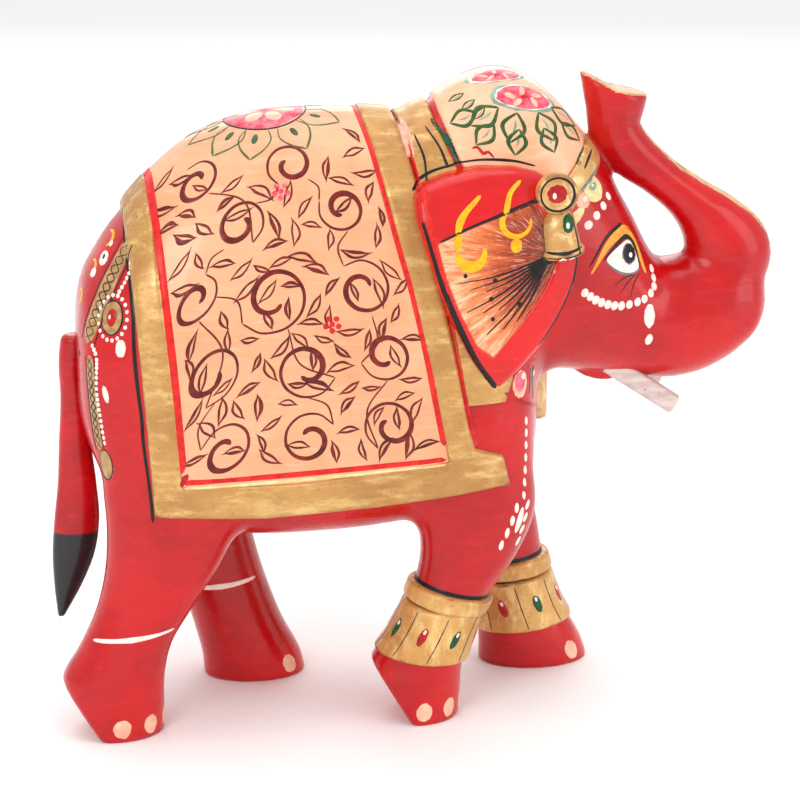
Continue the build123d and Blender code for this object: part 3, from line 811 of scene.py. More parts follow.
class Sheet:
    """Flat drawing in millimetres that is laid onto a surface when it is finished."""

    def __init__(self, place):
        self.place = place
        self.heaps = {}
        self.levels = {}

    def lift(self, flat):
        cells = set(map(tuple, np.round(flat / 0.6).astype(int).tolist()))
        level = 1 + max((self.levels.get(cell, -1) for cell in cells), default=-1)
        for cell in cells:
            self.levels[cell] = level
        return FILM + LAYER * min(level, 6)

    def add(self, name, flat, height, faces):
        verts, heights, quads = self.heaps.setdefault(name, ([], [], []))
        start = sum(len(v) for v in verts)
        verts.append(flat)
        heights.append(height)
        quads.extend([tuple(start + k for k in face) for face in faces])

    def line(self, name, points, widths, gap=0.6, closed=False):
        path = spline(points, gap, closed)
        if closed:
            path = np.vstack([path, path[:1]])
        n = len(path)
        along = np.concatenate([[0], np.cumsum(np.hypot(*np.diff(path, axis=0).T))])
        t = along / max(along[-1], 1e-6)
        wide = np.interp(t, np.linspace(0, 1, len(widths)), widths)
        wide = wide * (1 + 0.1 * np.interp(t, np.linspace(0, 1, 7), RNG.uniform(-1, 1, 7)))
        if not closed:
            ends = np.minimum(along, along[-1] - along) / np.maximum(wide * 0.5, 0.05)
            wide = wide * np.sqrt(np.clip(ends, 0.04, 1))
        heading = np.gradient(path, axis=0)
        heading /= np.maximum(np.hypot(*heading.T), 1e-9)[:, None]
        side = np.stack([-heading[:, 1], heading[:, 0]], 1)
        film = self.lift(path[1:-1] if n > 4 else path)
        across = np.array([-0.5, -0.34, 0.0, 0.34, 0.5])
        heights = np.array([SINK, film * 0.8, film, film * 0.8, SINK])
        flat = path[:, None, :] + side[:, None, :] * (wide[:, None] * across)[:, :, None]
        faces = []
        for i in range(n - 1):
            for k in range(4):
                a = i * 5 + k
                faces.append((a, a + 5, a + 6, a + 1))
        self.add(name, flat.reshape(-1, 2), np.tile(heights, n), faces)

    def fill(self, name, points, smooth=True):
        edge = spline(points, 0.5, True) if smooth else np.array(points, float)
        if COARSE > 1 and len(edge) > 40:
            edge = edge[::2]
        middle = edge.mean(0)
        size = np.hypot(*(edge - middle).T).max()
        steps = max(2, int(size / 1.3))
        film = self.lift(np.vstack([middle + (edge - middle) * k for k in (0.2, 0.5, 0.8)]))
        rows = [middle[None, :]]
        heights = [film]
        n = len(edge)
        reach = list(np.linspace(0, 1 - min(0.3, 0.25 / size), steps + 1)[1:]) + [1.0]
        for k in reach:
            rows.append(middle + (edge - middle) * k)
            heights += [SINK if k == 1.0 else film] * n
        faces = []
        for i in range(n):
            j = (i + 1) % n
            faces.append((0, 1 + i, 1 + j))
            for r in range(len(reach) - 1):
                a, b = 1 + r * n, 1 + (r + 1) * n
                faces.append((a + i, b + i, b + j, a + j))
        self.add(name, np.vstack(rows), np.array(heights), faces)

    def dot(self, name, centre, radii, turn=0.0):
        count = 12 if max(radii) < 1.5 else 24
        a = np.linspace(0, 2 * np.pi, count, endpoint=False)
        c, s = math.cos(math.radians(turn)), math.sin(math.radians(turn))
        x, y = radii[0] * np.cos(a), radii[1] * np.sin(a)
        wobble = 1 + RNG.uniform(-0.06, 0.06, count)
        ring = np.stack([c * x - s * y, s * x + c * y], 1) * wobble[:, None]
        self.fill(name, ring + np.array(centre), False)

    def finish(self, label):
        names = list(self.heaps)
        if not names:
            return
        flats = [np.vstack(self.heaps[k][0]) for k in names]
        spots, normals = self.place(np.vstack(flats))
        start = 0
        for name, flat in zip(names, flats):
            here = slice(start, start + len(flat))
            start += len(flat)
            height = np.concatenate(self.heaps[name][1])
            verts = spots[here] + normals[here] * height[:, None]
            faces = self.heaps[name][2]
            a, b, c = faces[0][:3]
            face_normal = np.cross(verts[b] - verts[a], verts[c] - verts[a])
            if face_normal @ normals[here][a] < 0:
                faces = [face[::-1] for face in faces]
            make_object(label + "_" + name, verts, faces, ink_paint(name))


def slope(field, spots, h=0.05):
    """Unit normals of a field."""
    g = gradient(field, spots, h)
    return g / np.maximum(np.linalg.norm(g, axis=1), 1e-9)[:, None]


def skin(x, y, z):
    """Every surface that carries paint, as one field."""
    fields = [body_field, cloth_field, border_field, neck_field, cap_field, band_field, bib_field,
              ear_field, boss_field, bell_field, *[hoop(*values) for values in HOOPS]]
    return np.minimum.reduce([field(x, y, z) for field in fields])


def against(side, origin, turn=0.0, rise=0.0):
    """Lays a drawing on one flank, in millimetres forward and up from a point near its surface."""
    turn, rise = math.radians(turn), math.radians(rise)
    flip = np.array([1.0, -side, 1.0])
    ahead = np.array([math.cos(turn), math.sin(turn), 0.0])
    out = np.array([math.sin(turn) * math.cos(rise), -math.cos(turn) * math.cos(rise), math.sin(rise)])
    up = np.cross(out, ahead)

    def place(flat):
        start = np.array(origin, float) + flat[:, :1] * ahead + flat[:, 1:] * up
        steps = np.arange(26.0, -34.0, -1.0)
        trail = (start[:, None, :] + out * steps[None, :, None]) * flip
        value = skin(trail[..., 0], trail[..., 1], trail[..., 2])
        inside = value < 0
        first = np.where(inside.any(1), inside.argmax(1), np.abs(value).argmin(1))
        first = np.maximum(first, 1)
        row = np.arange(len(flat))
        a, b = value[row, first - 1], value[row, first]
        part = np.clip(a / np.where(np.abs(a - b) < 1e-9, 1e-9, a - b), 0, 1)
        spots = trail[row, first - 1] * (1 - part[:, None]) + trail[row, first] * part[:, None]
        spots = settle(skin, spots, 3)
        return spots, slope(skin, spots, 0.25)

    return place


def drape_lengths(grow=CLOTH_PROUD):
    """Lengths down the drape from its ridge, for a row of stations along x."""
    stations = np.arange(-72.0, 24.0, 1.0)
    angle = np.radians(np.linspace(90.0, -80.0, 171))
    low, high, half = curve(TORSO[2:10], stations)
    middle = low + WIDEST * (high - low)
    lengths = np.linspace(0.0, 112.0, 225)
    width, height = [], []
    for k in range(len(stations)):
        c, s = np.cos(angle), np.sin(angle)
        power = np.where(s >= 0, TOP_ROUND, HANG_SQUARE)
        r = (np.abs(c) ** power + np.abs(s) ** power) ** (-1 / power)
        reach = np.where(s >= 0, high[k] + grow - middle[k], middle[k] - HANG_FOOT)
        y, z = (half[k] + grow) * r * c, middle[k] + reach * r * s
        run = np.concatenate([[0], np.cumsum(np.hypot(np.diff(y), np.diff(z)))])
        width.append(np.interp(lengths, run, y))
        height.append(np.interp(lengths, run, z))
    return stations, lengths, np.array(width), np.array(height)


STATIONS, LENGTHS, DRAPE_WIDTH, DRAPE_HEIGHT = drape_lengths()


def grid_read(table, x, s):
    i = np.clip((x - STATIONS[0]), 0, len(STATIONS) - 1.001)
    j = np.clip(s / (LENGTHS[1] - LENGTHS[0]), 0, len(LENGTHS) - 1.001)
    a, b = i.astype(int), j.astype(int)
    u, v = i - a, j - b
    return ((1 - u) * (1 - v) * table[a, b] + u * (1 - v) * table[a + 1, b]
            + (1 - u) * v * table[a, b + 1] + u * v * table[a + 1, b + 1])


def cloth_skin(x, y, z):
    return np.minimum(drape_field(x, y, z, CLOTH_PROUD), border_field(x, y, z))


def on_cloth(side):
    """Lays a drawing on the cloth: x along the back, then length down from the ridge."""
    def place(flat):
        x, s = flat.T
        y = grid_read(DRAPE_WIDTH, x, np.abs(s)) * np.where(s < 0, -side, side)
        z = grid_read(DRAPE_HEIGHT, x, np.abs(s))
        spots = settle(cloth_skin, np.stack([x, y, z], 1), 2)
        return spots, slope(cloth_skin, spots, 0.2)

    return place


def length_at(x, z):
    """Length down the drape at which it reaches height z."""
    k = int(round(x - STATIONS[0]))
    return float(np.interp(-z, -DRAPE_HEIGHT[k], LENGTHS))


def cloth_edge(rows):
    """A line given by x at several heights, turned into cloth lengths."""
    rows = sorted(rows)
    s = np.linspace(0.0, 104.0, 53)
    x = np.full(len(s), rows[0][1])
    for _ in range(6):
        z = grid_read(DRAPE_HEIGHT, x, s)
        x = np.interp(z, [r[0] for r in rows], [r[1] for r in rows])
    keep = grid_read(DRAPE_HEIGHT, x, s) > rows[0][0]
    return np.stack([x, s], 1)[keep]


def toward(degrees):
    """Unit vector on a flat sheet."""
    a = math.radians(degrees)
    return np.array([math.cos(a), math.sin(a)])


def leaf(sheet, x, s, length, angle, filled):
    """Slender painted leaf: two bowed strokes from stem to tip, one side sometimes filled."""
    ahead = toward(angle)
    across = np.array([-ahead[1], ahead[0]])
    bow = RNG.uniform(0.08, 0.2) * RNG.choice((-1, 1))
    belly = RNG.uniform(0.10, 0.14)
    start = np.array([x, s])

    def at(t, off):
        return start + ahead * length * t + across * length * (off + bow * math.sin(math.pi * t) * 0.6)

    upper = [at(-0.08, 0), at(0.12, 0.02), at(0.4, belly), at(0.68, belly * 0.8), at(1.0, 0)]
    lower = [at(0.0, 0), at(0.35, -belly * 0.8), at(0.65, -belly), at(0.9, -0.03), at(1.06, 0)]
    bold = 0.5 + 0.14 * RNG.random()
    if filled:
        sheet.fill("maroon", [at(0.08, 0.0), at(0.3, belly), at(0.6, belly * 1.1), at(0.92, 0.02),
                              at(0.6, belly * 0.1), at(0.3, belly * 0.15)])
    sheet.line("maroon", upper, (0.15, bold, bold * 1.1, 0.2), 0.5)
    sheet.line("maroon", lower, (0.2, bold, bold * 1.2, 0.12), 0.5)


def medallion(sheet):
    """Lotus on the back: pink flower in an oval, ringed by pointed green petals."""
    middle = np.array([-34.0, 0.0])
    for turn in (27, 63, 106, 136, 167, -27, -63, -106, -136, -167):
        tip = 18.6 - abs(toward(turn)[1])
        edge = [(9.6, -15), (12.6, -17), (15.2, -10), (tip, 0), (15.2, 10), (12.6, 17), (9.6, 15)]
        edge = [middle + reach * toward(turn + off) for reach, off in edge]
        sheet.line("moss", edge[:4], (0.3, 0.5, 0.7), 0.8)
        sheet.line("moss", edge[3:], (0.7, 0.5, 0.3), 0.8)
        sheet.dot("green", middle + 12.2 * toward(turn), (1.5, 0.75), turn)
    sheet.dot("rose", middle, (9.2, 9.0))
    for k in range(6):
        turn = 60 * k + 10
        sheet.dot("blush", middle + 4.4 * toward(turn), (2.6, 1.9), turn)
    sheet.dot("crimson", middle, (1.5, 1.4))
    rim = [middle + 9.3 * toward(turn) for turn in range(0, 360, 15)]
    sheet.line("ink", rim, (0.5, 0.8, 0.5), 0.8, True)


# Scrolls on the cloth: middle (x, length down from the ridge), radius, first angle, way round
SCROLLS = [
    (-51.0, 17.0, 5.0, 250, 1), (-42.0, 31.0, 5.6, 60, -1), (-30.0, 19.5, 5.4, 120, 1),
    (-19.0, 30.0, 5.4, 200, -1), (-52.5, 43.0, 5.2, 300, 1), (-35.0, 49.0, 8.2, 150, -1),
    (-15.0, 48.0, 6.6, 230, 1), (-49.5, 62.0, 6.8, 100, -1), (-28.0, 66.0, 7.0, 20, 1),
    (-10.0, 63.0, 6.0, 160, -1), (-46.5, 81.0, 6.4, 210, 1), (-27.5, 82.6, 6.4, 330, -1),
    (-8.6, 79.6, 6.4, 120, 1),
]
SCROLL_TURNS = 1.3


def bent(start, end, bow):
    """A stroke from start to end, bowed sideways by a share of its length."""
    a, b = np.array(start, float), np.array(end, float)
    side = np.array([a[1] - b[1], b[0] - a[0]])
    return [a, (a + b) / 2 + side * bow, b]


def arc(centre, radii, first, sweep):
    """Points along part of an ellipse, every 20 degrees or so."""
    count = max(4, int(abs(sweep) / 20) + 1)
    turns = np.radians(np.linspace(first, first + sweep, count))
    return [(centre[0] + radii[0] * math.cos(a), centre[1] + radii[1] * math.sin(a)) for a in turns]


def ring(sheet, name, centre, radii, width):
    sheet.line(name, arc(centre, radii, 0, 345), (width, width * 0.7, width), 0.6, True)


def petal(sheet, name, root, turn, size, wide, bold):
    """Pointed petal in two bowed strokes, with a short vein."""
    ahead = size * toward(turn)
    root = np.array(root, float)
    for bow in (wide, -wide):
        sheet.line(name, bent(root, root + ahead, bow), (bold * 0.5, bold, bold * 0.4))
    sheet.line("sage", bent(root + ahead * 0.25, root + ahead * 0.7, 0.1), (0.2, bold * 0.6, 0.2))


def flower(sheet, centre, radii, turn):
    """Rose flower on a pale ring, with blush petals round its middle."""
    centre, radii = np.array(centre, float), np.array(radii, float)
    sheet.dot("sage", centre, radii * 1.14, turn)
    sheet.dot("white", centre, radii * 1.03, turn)
    sheet.dot("rose", centre, radii * 0.95, turn)
    for k in range(5):
        sheet.dot("blush", centre + radii * 0.5 * toward(72 * k + 20), radii * 0.22, 72 * k)
    sheet.dot("crimson", centre, radii * 0.16)


def bead_row(sheet, points, gap, size):
    for spot in spline(points, gap):
        sheet.dot("white", spot, (size, size * 1.15))


def braid(sheet, start, end, wide, waves):
    """Gold band with dark edges and two crossing wavy strokes inside it."""
    a, b = np.array(start, float), np.array(end, float)
    side = np.array([a[1] - b[1], b[0] - a[0]]) / np.hypot(*(b - a))
    middle = a + np.linspace(0, 1, 4)[:, None] * (b - a)
    sheet.line("khaki", middle, (wide * 0.9, wide, wide * 0.86))
    for way in (-1, 1):
        sheet.line("ink", middle + side * wide * 0.52 * way, (0.3, 0.5, 0.35))
        t = np.linspace(0.03, 0.97, waves * 2)
        swing = np.where(np.arange(len(t)) % 2, 0.25, -0.25) * wide * way
        sheet.line("ink", a + t[:, None] * (b - a) + side * swing[:, None], (0.25, 0.45, 0.25))


def paint_cap(side, label):
    """Two flowers on the cap, the front one skirted by two tiers of pointed petals."""
    sheet = Sheet(against(side, (24.0, -12.0, 143.0), 10.0, 40.0))
    middle = np.array([0.0, 3.6])
    tiers = (((11.8, 8.0), 5.8, range(-164, -15, 30)), ((7.6, 4.2), 7.2, range(-150, -29, 40)))
    for radii, size, turns in tiers:
        for turn in turns:
            out = toward(turn)
            petal(sheet, "green", middle + radii * out, turn + 8 * out[0], size, 0.36, 1.2)
    flower(sheet, middle, (7.0, 3.4), -8)
    flower(sheet, (-4.4, 10.8), (6.2, 2.2), 0)
    for k in range(3):
        root = (-12.6 + 1.6 * k, 7.4 - 2.6 * k)
        petal(sheet, "green", root, 196 + 12 * k, 3.6, 0.2, 0.6)
    sheet.finish(label + "_cap")


def paint_boss(sheet):
    """Dark rim, red stone and highlight on the boss; leaf and rim lines on the bell drop."""
    ring(sheet, "black", (28.6, 127.8), (3.8, 3.8), 0.7)
    sheet.dot("crimson", (28.6, 127.8), (2.3, 2.2))
    sheet.dot("white", (28.0, 127.4), (0.6, 0.95))
    sheet.dot("forest", (31.2, 121.0), (1.5, 2.2))
    sheet.dot("white", (31.0, 120.6), (0.55, 0.85))
    for down, bold in ((0.0, 0.9), (-1.1, 0.45)):
        rim = bent((26.2, 114.4 + down), (34.4, 115.4 + down), -0.04)
        sheet.line("ink", rim, (bold * 0.5, bold, bold * 0.5))
    for x in (29.8, 32.1):
        sheet.dot("white", (x, 112.9), (1.0, 0.8))


def paint_ear(sheet):
    """Dark edges, a fan of fine lines from the front of the panel, and two yellow hooks; the black line along
    the top of the ear stands for its dark outline and for painted shade where the ear meets the head.
    """
    rear = [(x + 1.1, z) for x, z in EAR[:14:-1]]
    sheet.line("black", rear + [(15.6, 82.4)], (0.7, 1.5, 1.4))
    # Painted shadow: black line along the top of the ear, where it meets the head, standing also for the
    # ear's dark outline.
    sheet.line("black", [(x, z + 1.0) for x, z in EAR[:6]], (1.0, 0.6, 0.5, 0.8, 0.4))
    sheet.line("ink", [(x + 0.4, z + 0.7) for x, z in EAR_PANEL[:4]], (0.5, 0.9, 1.3))
    sheet.line("ink", [(x - 1.0, z) for x, z in EAR[7:12]], (0.3, 0.8, 0.4))
    hub = np.array([27.2, 113.4])
    for k in range(9):
        ahead = toward(193 + 6.2 * k)
        far = 22.5 - 3.0 * (k % 3)
        sheet.line("black", bent(hub + ahead * 1.2, hub + ahead * far, 0.03), (0.6, 0.5, 0.18))
        if k % 2 == 0:
            sheet.dot("black", hub + ahead * (far - 3.4) + (-0.9, 1.1), (0.55, 0.62))
    sheet.line("black", bent(hub + (-1.4, -1.0), hub + (1.2, -1.0), -0.15), (0.6, 1.2, 0.6))
    sheet.line("yellow", bent((11.4, 128.0), (6.0, 115.4), -0.16), (0.9, 1.8, 1.7))
    sheet.line("yellow", arc((9.0, 115.4), (3.1, 3.2), 180, 200), (1.6, 3.2, 0.8))
    hook = [(20.8, 130.6), (18.2, 128.0)] + arc((19.6, 121.6), (3.4, 3.2), 140, 230)
    sheet.line("yellow", hook, (0.9, 1.7, 0.8))
    sheet.dot("yellow", (19.4, 116.4), (1.4, 1.7))


def paint_neck(sheet):
    """Edging down the neck panel, and dark strokes along the edges of the cap and head band."""
    sheet.line("salmon", bent((-4.0, 141.6), (-2.6, 134.0), 0.02), (2.4, 2.8, 1.8))
    sheet.line("redline", NECK[2:9], (1.2, 1.4, 1.5, 1.0))
    sheet.line("forest", bent((2.6, 142.0), (8.0, 133.0), 0.06), (0.8, 1.5, 0.9))
    sheet.line("ink", bent((1.2, 140.6), (5.4, 132.4), 0.06), (0.4, 0.6, 0.9))
    sheet.line("ink", bent((-1.4, 139.0), (0.4, 129.6), 0.08), (0.5, 0.7, 0.5))
    sheet.line("forest", bent(BAND[1], BAND[2], 0.05), (0.4, 0.9, 0.5))
    lower = [np.add(spot, (2.2, -1.0)) for spot in BAND[1:3]]
    sheet.line("black", bent(*lower, 0.05), (0.5, 0.9, 0.4))
    sheet.line("slate", [(x - 0.8, z + 0.4) for x, z in BAND[7:5:-1]], (0.8, 1.0, 0.5))
    zigzag = [(11.0 + 1.2 * k, 136.4 - 0.5 * k + 0.8 * (k % 2)) for k in range(5)]
    sheet.line("crimson", zigzag, (0.5, 0.9, 0.5))


def paint_eye(side, label):
    """Eye under an orange lid, beads over the brow, a jewel on the brow and a string on the cheek."""
    sheet = Sheet(against(side, (47.8, -13.0, 110.0), 35.0, 12.0))
    lid = np.array([(-10.4, -3.2), (-5.6, 2.8), (0.0, 5.3), (2.8, 2.6), (4.8, -5.6)])
    sheet.line("orange", lid, (0.6, 2.9, 0.8))
    sheet.line("black", lid[:3] + (-0.4, 1.7), (0.4, 0.9, 1.2))
    sheet.line("black", lid[2:] + (1.0, 0.5), (0.3, 0.35, 0.2))
    opening = [(-6.4, -0.6), (-1.0, 2.7), (1.8, 2.2), (2.8, -3.8), (-1.6, -4.5)]
    sheet.fill("white", opening)
    for name, radii in (("slate", (2.3, 2.7)), ("black", (2.0, 2.45))):
        sheet.dot(name, (0.2, -0.2), radii)
    sheet.dot("white", (0.6, -0.6), (0.75, 0.8))
    sheet.line("black", [(-7.2, -0.5), (-3.6, 2.2), (0.2, 3.8), (2.6, 1.4), (3.0, -3.8)], (0.4, 1.4, 0.5))
    sheet.line("slate", [(-7.0, -0.8), (-3.4, -3.8), (0.2, -4.9), (3.0, -4.2)], (0.5, 0.8, 0.5))
    for k in range(3):
        root = np.array([0.8 + 0.8 * k, -5.2])
        sheet.line("black", bent(root, root + 6.0 * toward(198 + 22 * k), -0.08), (0.3, 0.35, 0.1))
    for k in range(4):
        sheet.dot("white", (-10.4 + 2.6 * k, 8.2 + 1.8 * k), (1.25 - 0.1 * k, 1.1), 25)
    sheet.line("cream", bent((-15.0, 8.6), (-11.0, 12.4), 0.05), (1.6, 2.8, 1.4))
    sheet.dot("cream", (-7.2, 16.0), (3.2, 3.1), 40)
    sheet.dot("sage", (-7.4, 17.0), (1.6, 1.5))
    sheet.dot("white", (-7.3, 16.9), (0.5, 0.48))
    sheet.dot("blush", (-11.0, 14.0), (2.0, 2.0))
    sheet.dot("white", (-10.4, 14.2), (0.95, 0.9))
    cheek = [(-11.7, -7.2), (-7.6, -10.2), (-2.6, -11.9), (3.4, -11.4), (6.8, -9.0), (7.6, -5.0)]
    bead_row(sheet, cheek, 2.4, 0.95)
    sheet.dot("white", (4.6, -15.6), (1.4, 2.9))
    sheet.dot("white", (4.7, -21.2), (0.9, 1.35))
    sheet.finish(label + "_eye")


def paint_rump(side, label):
    """Braided bands down the rump, a beaded medallion between them, and the dark edge of the cloth."""
    sheet = Sheet(against(side, (-70.7, -18.4, 100.7), -38.0, 12.0))
    cloth_side = [(-6.4, 24.0), (0.6, 13.4), (4.4, 3.4), (6.0, -8.0), (9.6, -46.0)]
    sheet.line("black", cloth_side, (0.6, 1.1, 0.8))
    braid(sheet, (0.2, 17.6), (-6.6, -6.6), 4.8, 6)
    braid(sheet, (-5.4, -9.2), (-3.4, -31.0), 2.7, 6)
    sheet.dot("khaki", (-1.9, -34.2), (2.2, 3.6), 10)
    ring(sheet, "ink", (-1.9, -34.2), (2.1, 3.5), 0.4)
    bead_row(sheet, bent((2.6, 12.6), (0.8, 6.0), 0.05), 1.3, 0.5)
    sheet.dot("khaki", (0.0, 0.0), (2.6, 3.9))
    ring(sheet, "ink", (0.0, 0.0), (2.6, 3.9), 0.5)
    sheet.dot("crimson", (0.0, 0.0), (1.4, 2.2))
    sheet.dot("white", (-0.5, 0.1), (0.4, 0.7))
    for spot in arc((0.0, 0.0), (3.7, 5.1), 0, 340):
        sheet.dot("white", spot, (0.5, 0.55))
    sheet.dot("white", (2.8, -6.6), (1.25, 2.1))
    sheet.dot("white", (-0.8, -17.6), (0.8, 2.1), 14)
    bead_row(sheet, [(-4.6, -7.0), (-3.2, -10.0), (-3.2, -18.0), (-1.6, -29.0)], 1.3, 0.5)
    sheet.dot("black", (-10.4, -9.6), (0.7, 0.8))
    for k in range(3):
        hook = arc((-8.0 - 2.6 * k, 17.0 - 7.0 * k), (2.0 - 0.3 * k, 1.7), 110, -190)
        sheet.line("yellow", hook, (0.4, 1.2, 0.4))
    if side < 0:
        for spot, size in (((-6.6, 12.6), 1.6), ((-9.0, 9.0), 1.1), ((-5.8, 16.0), 0.7)):
            sheet.dot("white", spot, (size, size * 1.1))
        sheet.dot("ink", (-6.6, 12.9), (0.6, 0.8))
    sheet.finish(label + "_rump")


def paint_shoulder(side, label):
    """Sprig of white dots down the shoulder, under the flowers and red hem of the chest."""
    sheet = Sheet(against(side, (23.0, -20.0, 62.0), 40.0))
    sheet.dot("blush", (-1.0, 19.8), (2.2, 3.4))
    sheet.dot("rose", (-1.2, 20.4), (1.6, 2.6))
    sheet.dot("white", (-0.2, 21.6), (0.9, 1.0))
    sheet.line("green", bent((4.2, 23.0), (5.2, 14.6), -0.04), (1.2, 1.1, 0.6))
    sheet.dot("white", (4.8, 21.0), (0.5, 0.9))
    sheet.line("ink", bent((2.6, 22.8), (2.4, 16.4), 0.02), (0.2, 0.35, 0.2))
    sheet.line("crimson", bent((-6.2, 18.8), (8.0, 12.2), -0.05), (0.9, 1.4, 0.9))
    for k in range(7):
        sheet.dot("white", (0.8 - 0.05 * k * k, 10.6 - 2.9 * k), (0.62, 1.15), 4)
    sheet.dot("white", (-2.4, -12.6), (0.9, 3.2), -16)
    for k in range(4):
        for way in (-1, 1):
            spot = (-1.6 - 0.9 * k + way * (1.7 + 0.25 * k), -9.4 - 2.9 * k)
            sheet.dot("white", spot, (0.65, 1.35), -16 - 12 * way)
    sheet.finish(label + "_shoulder")


def paint_feet():
    """Pale toenails round every foot, and white brushed bands above the hind feet."""
    near, far = (-82, -45, -8), (-45, 0, 45, 82)
    for rows, turns, label in ((NEAR_HIND, near, "right_hind"), (NEAR_FRONT, near, "right_front"),
                               (FAR_HIND, far, "left_hind"), (FAR_FRONT, far, "left_front")):
        low = curve(rows, np.array([3.4]))
        sheet = Sheet(around_leg(rows, (float(low[0][0]), 3.4), 0.0, 0.0))
        for turn in turns:
            sheet.dot("blush", (turn * DEGREE, 0.0), (1.7, 2.4))
        if rows in (NEAR_HIND, FAR_HIND):
            band = [(turn * DEGREE, 21.8 + 0.02 * (turn + 100)) for turn in range(-150, -39, 22)]
            sheet.line("white", band, (0.8, 1.6, 0.8))
        sheet.finish(label + "_foot")


def spiral(x, s, radius, first, way):
    """Scroll that winds in from its rim to a bold hook near its middle."""
    t = np.linspace(0, 1, 13)
    a = np.radians(first) + way * t * SCROLL_TURNS * 2 * np.pi
    r = radius * (1 - 0.72 * t**1.3)
    return np.stack([x + r * np.cos(a), s + r * np.sin(a)], 1)


def paint_vines(sheet, rear, front):
    """Scrolls joined by stems, with leaves along them and in every gap."""
    taken = []
    for k, (x, s, radius, first, way) in enumerate(SCROLLS):
        path = spiral(x, s, radius, first, way)
        sheet.line("maroon", path, (0.4, 0.7, 0.95, 1.6, 1.3))
        taken.append(spline(path, 0.8))
        if k:
            near = min(SCROLLS[:k], key=lambda other: math.hypot(other[0] - x, other[1] - s))
            away = np.array([x - near[0], s - near[1]])
            start = np.array(near[:2]) + away / np.hypot(*away) * near[2] * 0.95
            stem = bent(start, path[0], 0.22 * way)
            sheet.line("maroon", stem, (0.3, 0.5, 0.4))
            taken.append(spline(stem, 0.8))
    strokes = np.vstack(taken)
    spots = np.empty((0, 2))
    for _ in range(2600):
        x, s = RNG.uniform(-60, 4), RNG.uniform(9, 100)
        edges = [np.interp(s, line[:, 1], line[:, 0]) for line in (rear, front)]
        lowest = length_at(x, 69.0) if edges[0] < x < edges[1] else 0.0
        if not (edges[0] + 2.6 < x < edges[1] - 2.6 and s < lowest):
            continue
        if math.hypot(x + 34.0, s) < 22.0:
            continue
        gap = strokes - (x, s)
        reach = np.hypot(*gap.T)
        if reach.min() < 1.7 or (len(spots) and np.hypot(*(spots - (x, s)).T).min() < 4.1):
            continue
        spots = np.vstack([spots, (x, s)])
        nearest = gap[reach.argmin()]
        lean = RNG.uniform(35, 75) * RNG.choice((-1, 1))
        turn = math.degrees(math.atan2(-nearest[1], -nearest[0])) + lean
        length = RNG.uniform(4.2, 6.8)
        ahead = toward(turn) * length / 2
        leaf(sheet, x - ahead[0], s - ahead[1], length, turn, RNG.random() < 0.3)


REAR_LINE = [(150.0, -62.2), (130.0, -61.6), (113.0, -60.2), (97.2, -58.9), (83.2, -57.7), (63.0, -56.4)]
FRONT_LINE = [(150.0, -14.6), (145.0, -13.6), (137.0, -11.0), (126.5, -8.6), (117.1, -6.3),
              (106.7, -3.5), (87.8, 0.6), (66.2, 4.6)]


def paint_cloth(side, label):
    sheet = Sheet(on_cloth(side))
    rear, front = cloth_edge(REAR_LINE), cloth_edge(FRONT_LINE)
    if side < 0:
        medallion(sheet)
    paint_vines(sheet, rear, front)
    rear, front = rear + (0.5, 0.0), front - (0.5, 0.0)
    sheet.line("redline", rear[::2], (1.9, 2.1, 2.0, 2.0), 1.0)
    sheet.line("redline", front[::2], (1.5, 1.6, 1.6, 1.7), 1.0)
    hem = np.linspace(rear[-1][0], front[-1][0], 16)
    bottom = [np.array([x, length_at(x, 63.4 + 3.0 * (x - hem[0]) / (hem[-1] - hem[0]))]) for x in hem]
    sheet.line("redline", bottom, (1.2, 1.5, 1.4), 1.0)
    # Painted highlight: a pale cream line on the gold border just under the red hem line, standing for light
    # on the border's raised inner edge.
    sheet.line("cream", [p + np.array([0.0, 1.4]) for p in bottom], (0.7, 1.0, 0.8), 1.0)
    sheet.dot("crimson", rear[-1], (1.3, 1.2))
    for x, s, kind in ((-32.5, 25.5, "rose"), (-22.0, 56.0, "redline")):
        for a in range(0, 360, 72):
            sheet.dot(kind, np.array([x, s]) + 1.5 * toward(a + 20), (0.75, 0.75))
        sheet.dot(kind, (x, s), (0.7, 0.7))
    sheet.finish(label)


def around_leg(rows, centre, tilt, grow):
    """Lays a drawing around a leg: DEGREE millimetres a degree round it, then height along it."""
    angle = math.radians(tilt)

    def place(flat):
        turn, rise = np.radians(flat[:, 0] / DEGREE), flat[:, 1]
        z = centre[1] + rise
        for _ in range(4):
            cx, half_x, half_y, cy = curve(rows, z)
            x = cx + (half_x + grow) * np.cos(turn)
            y = cy + (half_y + grow) * np.sin(turn)
            z = centre[1] + (rise + (x - centre[0]) * math.sin(angle)) / math.cos(angle)
        spots = settle(skin, np.stack([x, y, z], 1), 3)
        return spots, slope(skin, spots)

    return place


def paint_anklets():
    """Dark lines above and below each ring, and jewels and dots set round each cuff."""
    for k, label in ((0, "right"), (2, "left")):
        rows, centre, tilt, half = HOOPS[k][:4]
        sheet = Sheet(around_leg(rows, centre, tilt, 0.1))
        whole = [(a * DEGREE, half + 0.5) for a in range(0, 360, 20)]
        sheet.line("black", whole, (1.5, 1.1, 1.5), 0.8, True)
        sheet.line("ink", [(a, -half - 0.35) for a, _ in whole], (0.5, 0.4, 0.5), 0.8, True)
        sheet.finish(label + "_anklet_line")
        rows, centre, tilt, half, thick = HOOPS[k + 1]
        sheet = Sheet(around_leg(rows, centre, tilt, thick))
        for i in range(8):
            turn = 45.0 * i - 158.0
            name = "crimson" if i % 2 else "forest"
            sheet.dot(name, (turn * DEGREE, 0.3), (0.95, 2.4))
            sheet.dot("white", (turn * DEGREE, 1.6), (0.45, 0.8))
            between = (turn + 22.5) * DEGREE
            sheet.line("ink", [(between, half - 0.8), (between, 0.8 - half)], (0.2, 0.3, 0.2))
        sheet.finish(label + "_anklet_jewels")


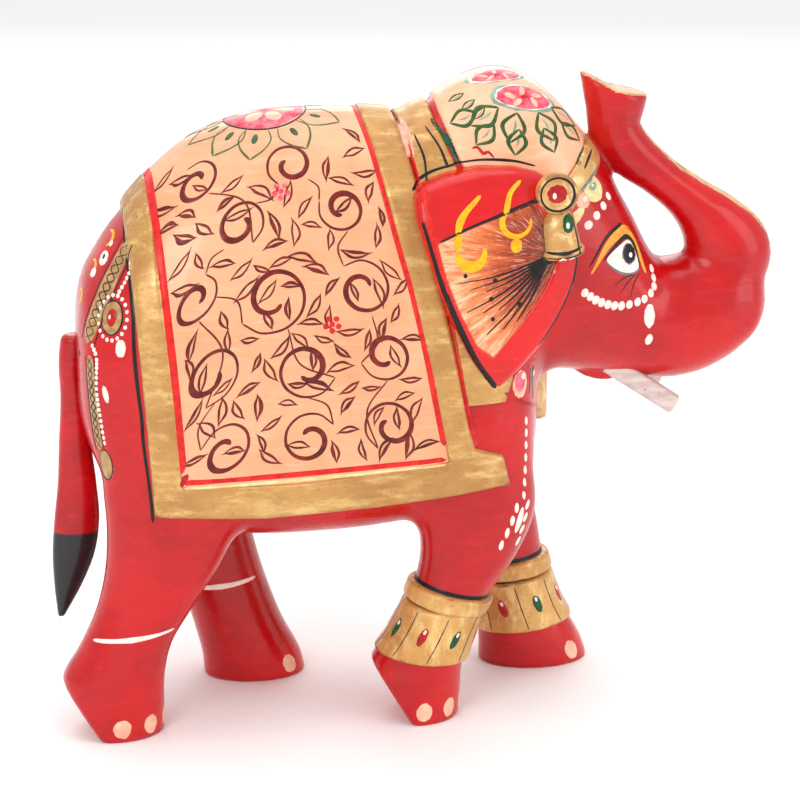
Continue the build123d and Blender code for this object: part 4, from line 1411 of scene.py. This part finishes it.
def paint_all():
    for side, label in ((-1, "right"), (1, "left")):
        paint_cloth(side, label + "_cloth_paint")
        flank = Sheet(against(side, (0.0, -22.0, 0.0)))
        paint_neck(flank)
        paint_ear(flank)
        paint_boss(flank)
        flank.finish(label + "_head_side")
        paint_cap(side, label)
        paint_eye(side, label)
        paint_rump(side, label)
        paint_shoulder(side, label)
    paint_anklets()
    paint_feet()


# ---------------------------------------------------------- camera and light
def set_camera():
    azimuth, rise, far = math.radians(-8.0), math.radians(17.5), 0.706
    back = Vector((math.sin(azimuth) * math.cos(rise), -math.cos(azimuth) * math.cos(rise), math.sin(rise)))
    data = bpy.data.cameras.new("camera")
    data.lens = 135
    data.sensor_width = 36
    data.clip_start = 0.02
    camera = bpy.data.objects.new("camera", data)
    camera.location = Vector((-0.003, 0.0, 0.0727)) + back * far
    camera.rotation_euler = back.to_track_quat("Z", "Y").to_euler()
    bpy.context.scene.collection.objects.link(camera)
    bpy.context.scene.camera = camera


def area_light(name, place, aim, size, watts):
    data = bpy.data.lights.new(name, "AREA")
    data.shape = "RECTANGLE"
    data.size, data.size_y = size
    data.energy = watts
    lamp = bpy.data.objects.new(name, data)
    lamp.location = place
    lamp.rotation_euler = (Vector(place) - Vector(aim)).to_track_quat("Z", "Y").to_euler()
    bpy.context.scene.collection.objects.link(lamp)


def set_light():
    middle = (0.0, 0.0, 0.075)
    area_light("overhead", (-0.05, 0.05, 0.75), middle, (0.7, 0.7), 2.3)
    area_light("key", (-0.45, -0.62, 0.42), middle, (0.35, 0.35), 1.7)
    area_light("fill", (0.62, -0.42, 0.28), middle, (0.35, 0.5), 1.15)
    area_light("behind", (0.1, 0.7, 0.4), middle, (0.6, 0.4), 1.2)
    world = bpy.data.worlds.new("studio")
    world.use_nodes = True
    sky = world.node_tree.nodes["Background"]
    sky.inputs["Color"].default_value = (1.0, 1.0, 1.0, 1.0)
    sky.inputs["Strength"].default_value = 0.85
    bpy.context.scene.world = world
    bpy.context.scene.view_settings.view_transform = "Standard"


def set_floor():
    n, wide, just_below = 40, 5.0, -0.00002
    verts, faces = [], []
    for i in range(n + 1):
        for j in range(n + 1):
            verts.append(((i / n - 0.5) * wide, (j / n - 0.25) * wide, just_below))
    for i in range(n):
        for j in range(n):
            k = i * (n + 1) + j
            faces.append((k, k + n + 1, k + n + 2, k + 1))
    mesh = bpy.data.meshes.new("floor")
    mesh.from_pydata(verts, [], faces)
    mesh.materials.append(floor_paint())
    floor = bpy.data.objects.new("floor", mesh)
    bpy.context.scene.collection.objects.link(floor)


set_camera()
set_light()
set_floor()
build_pieces()
paint_all()
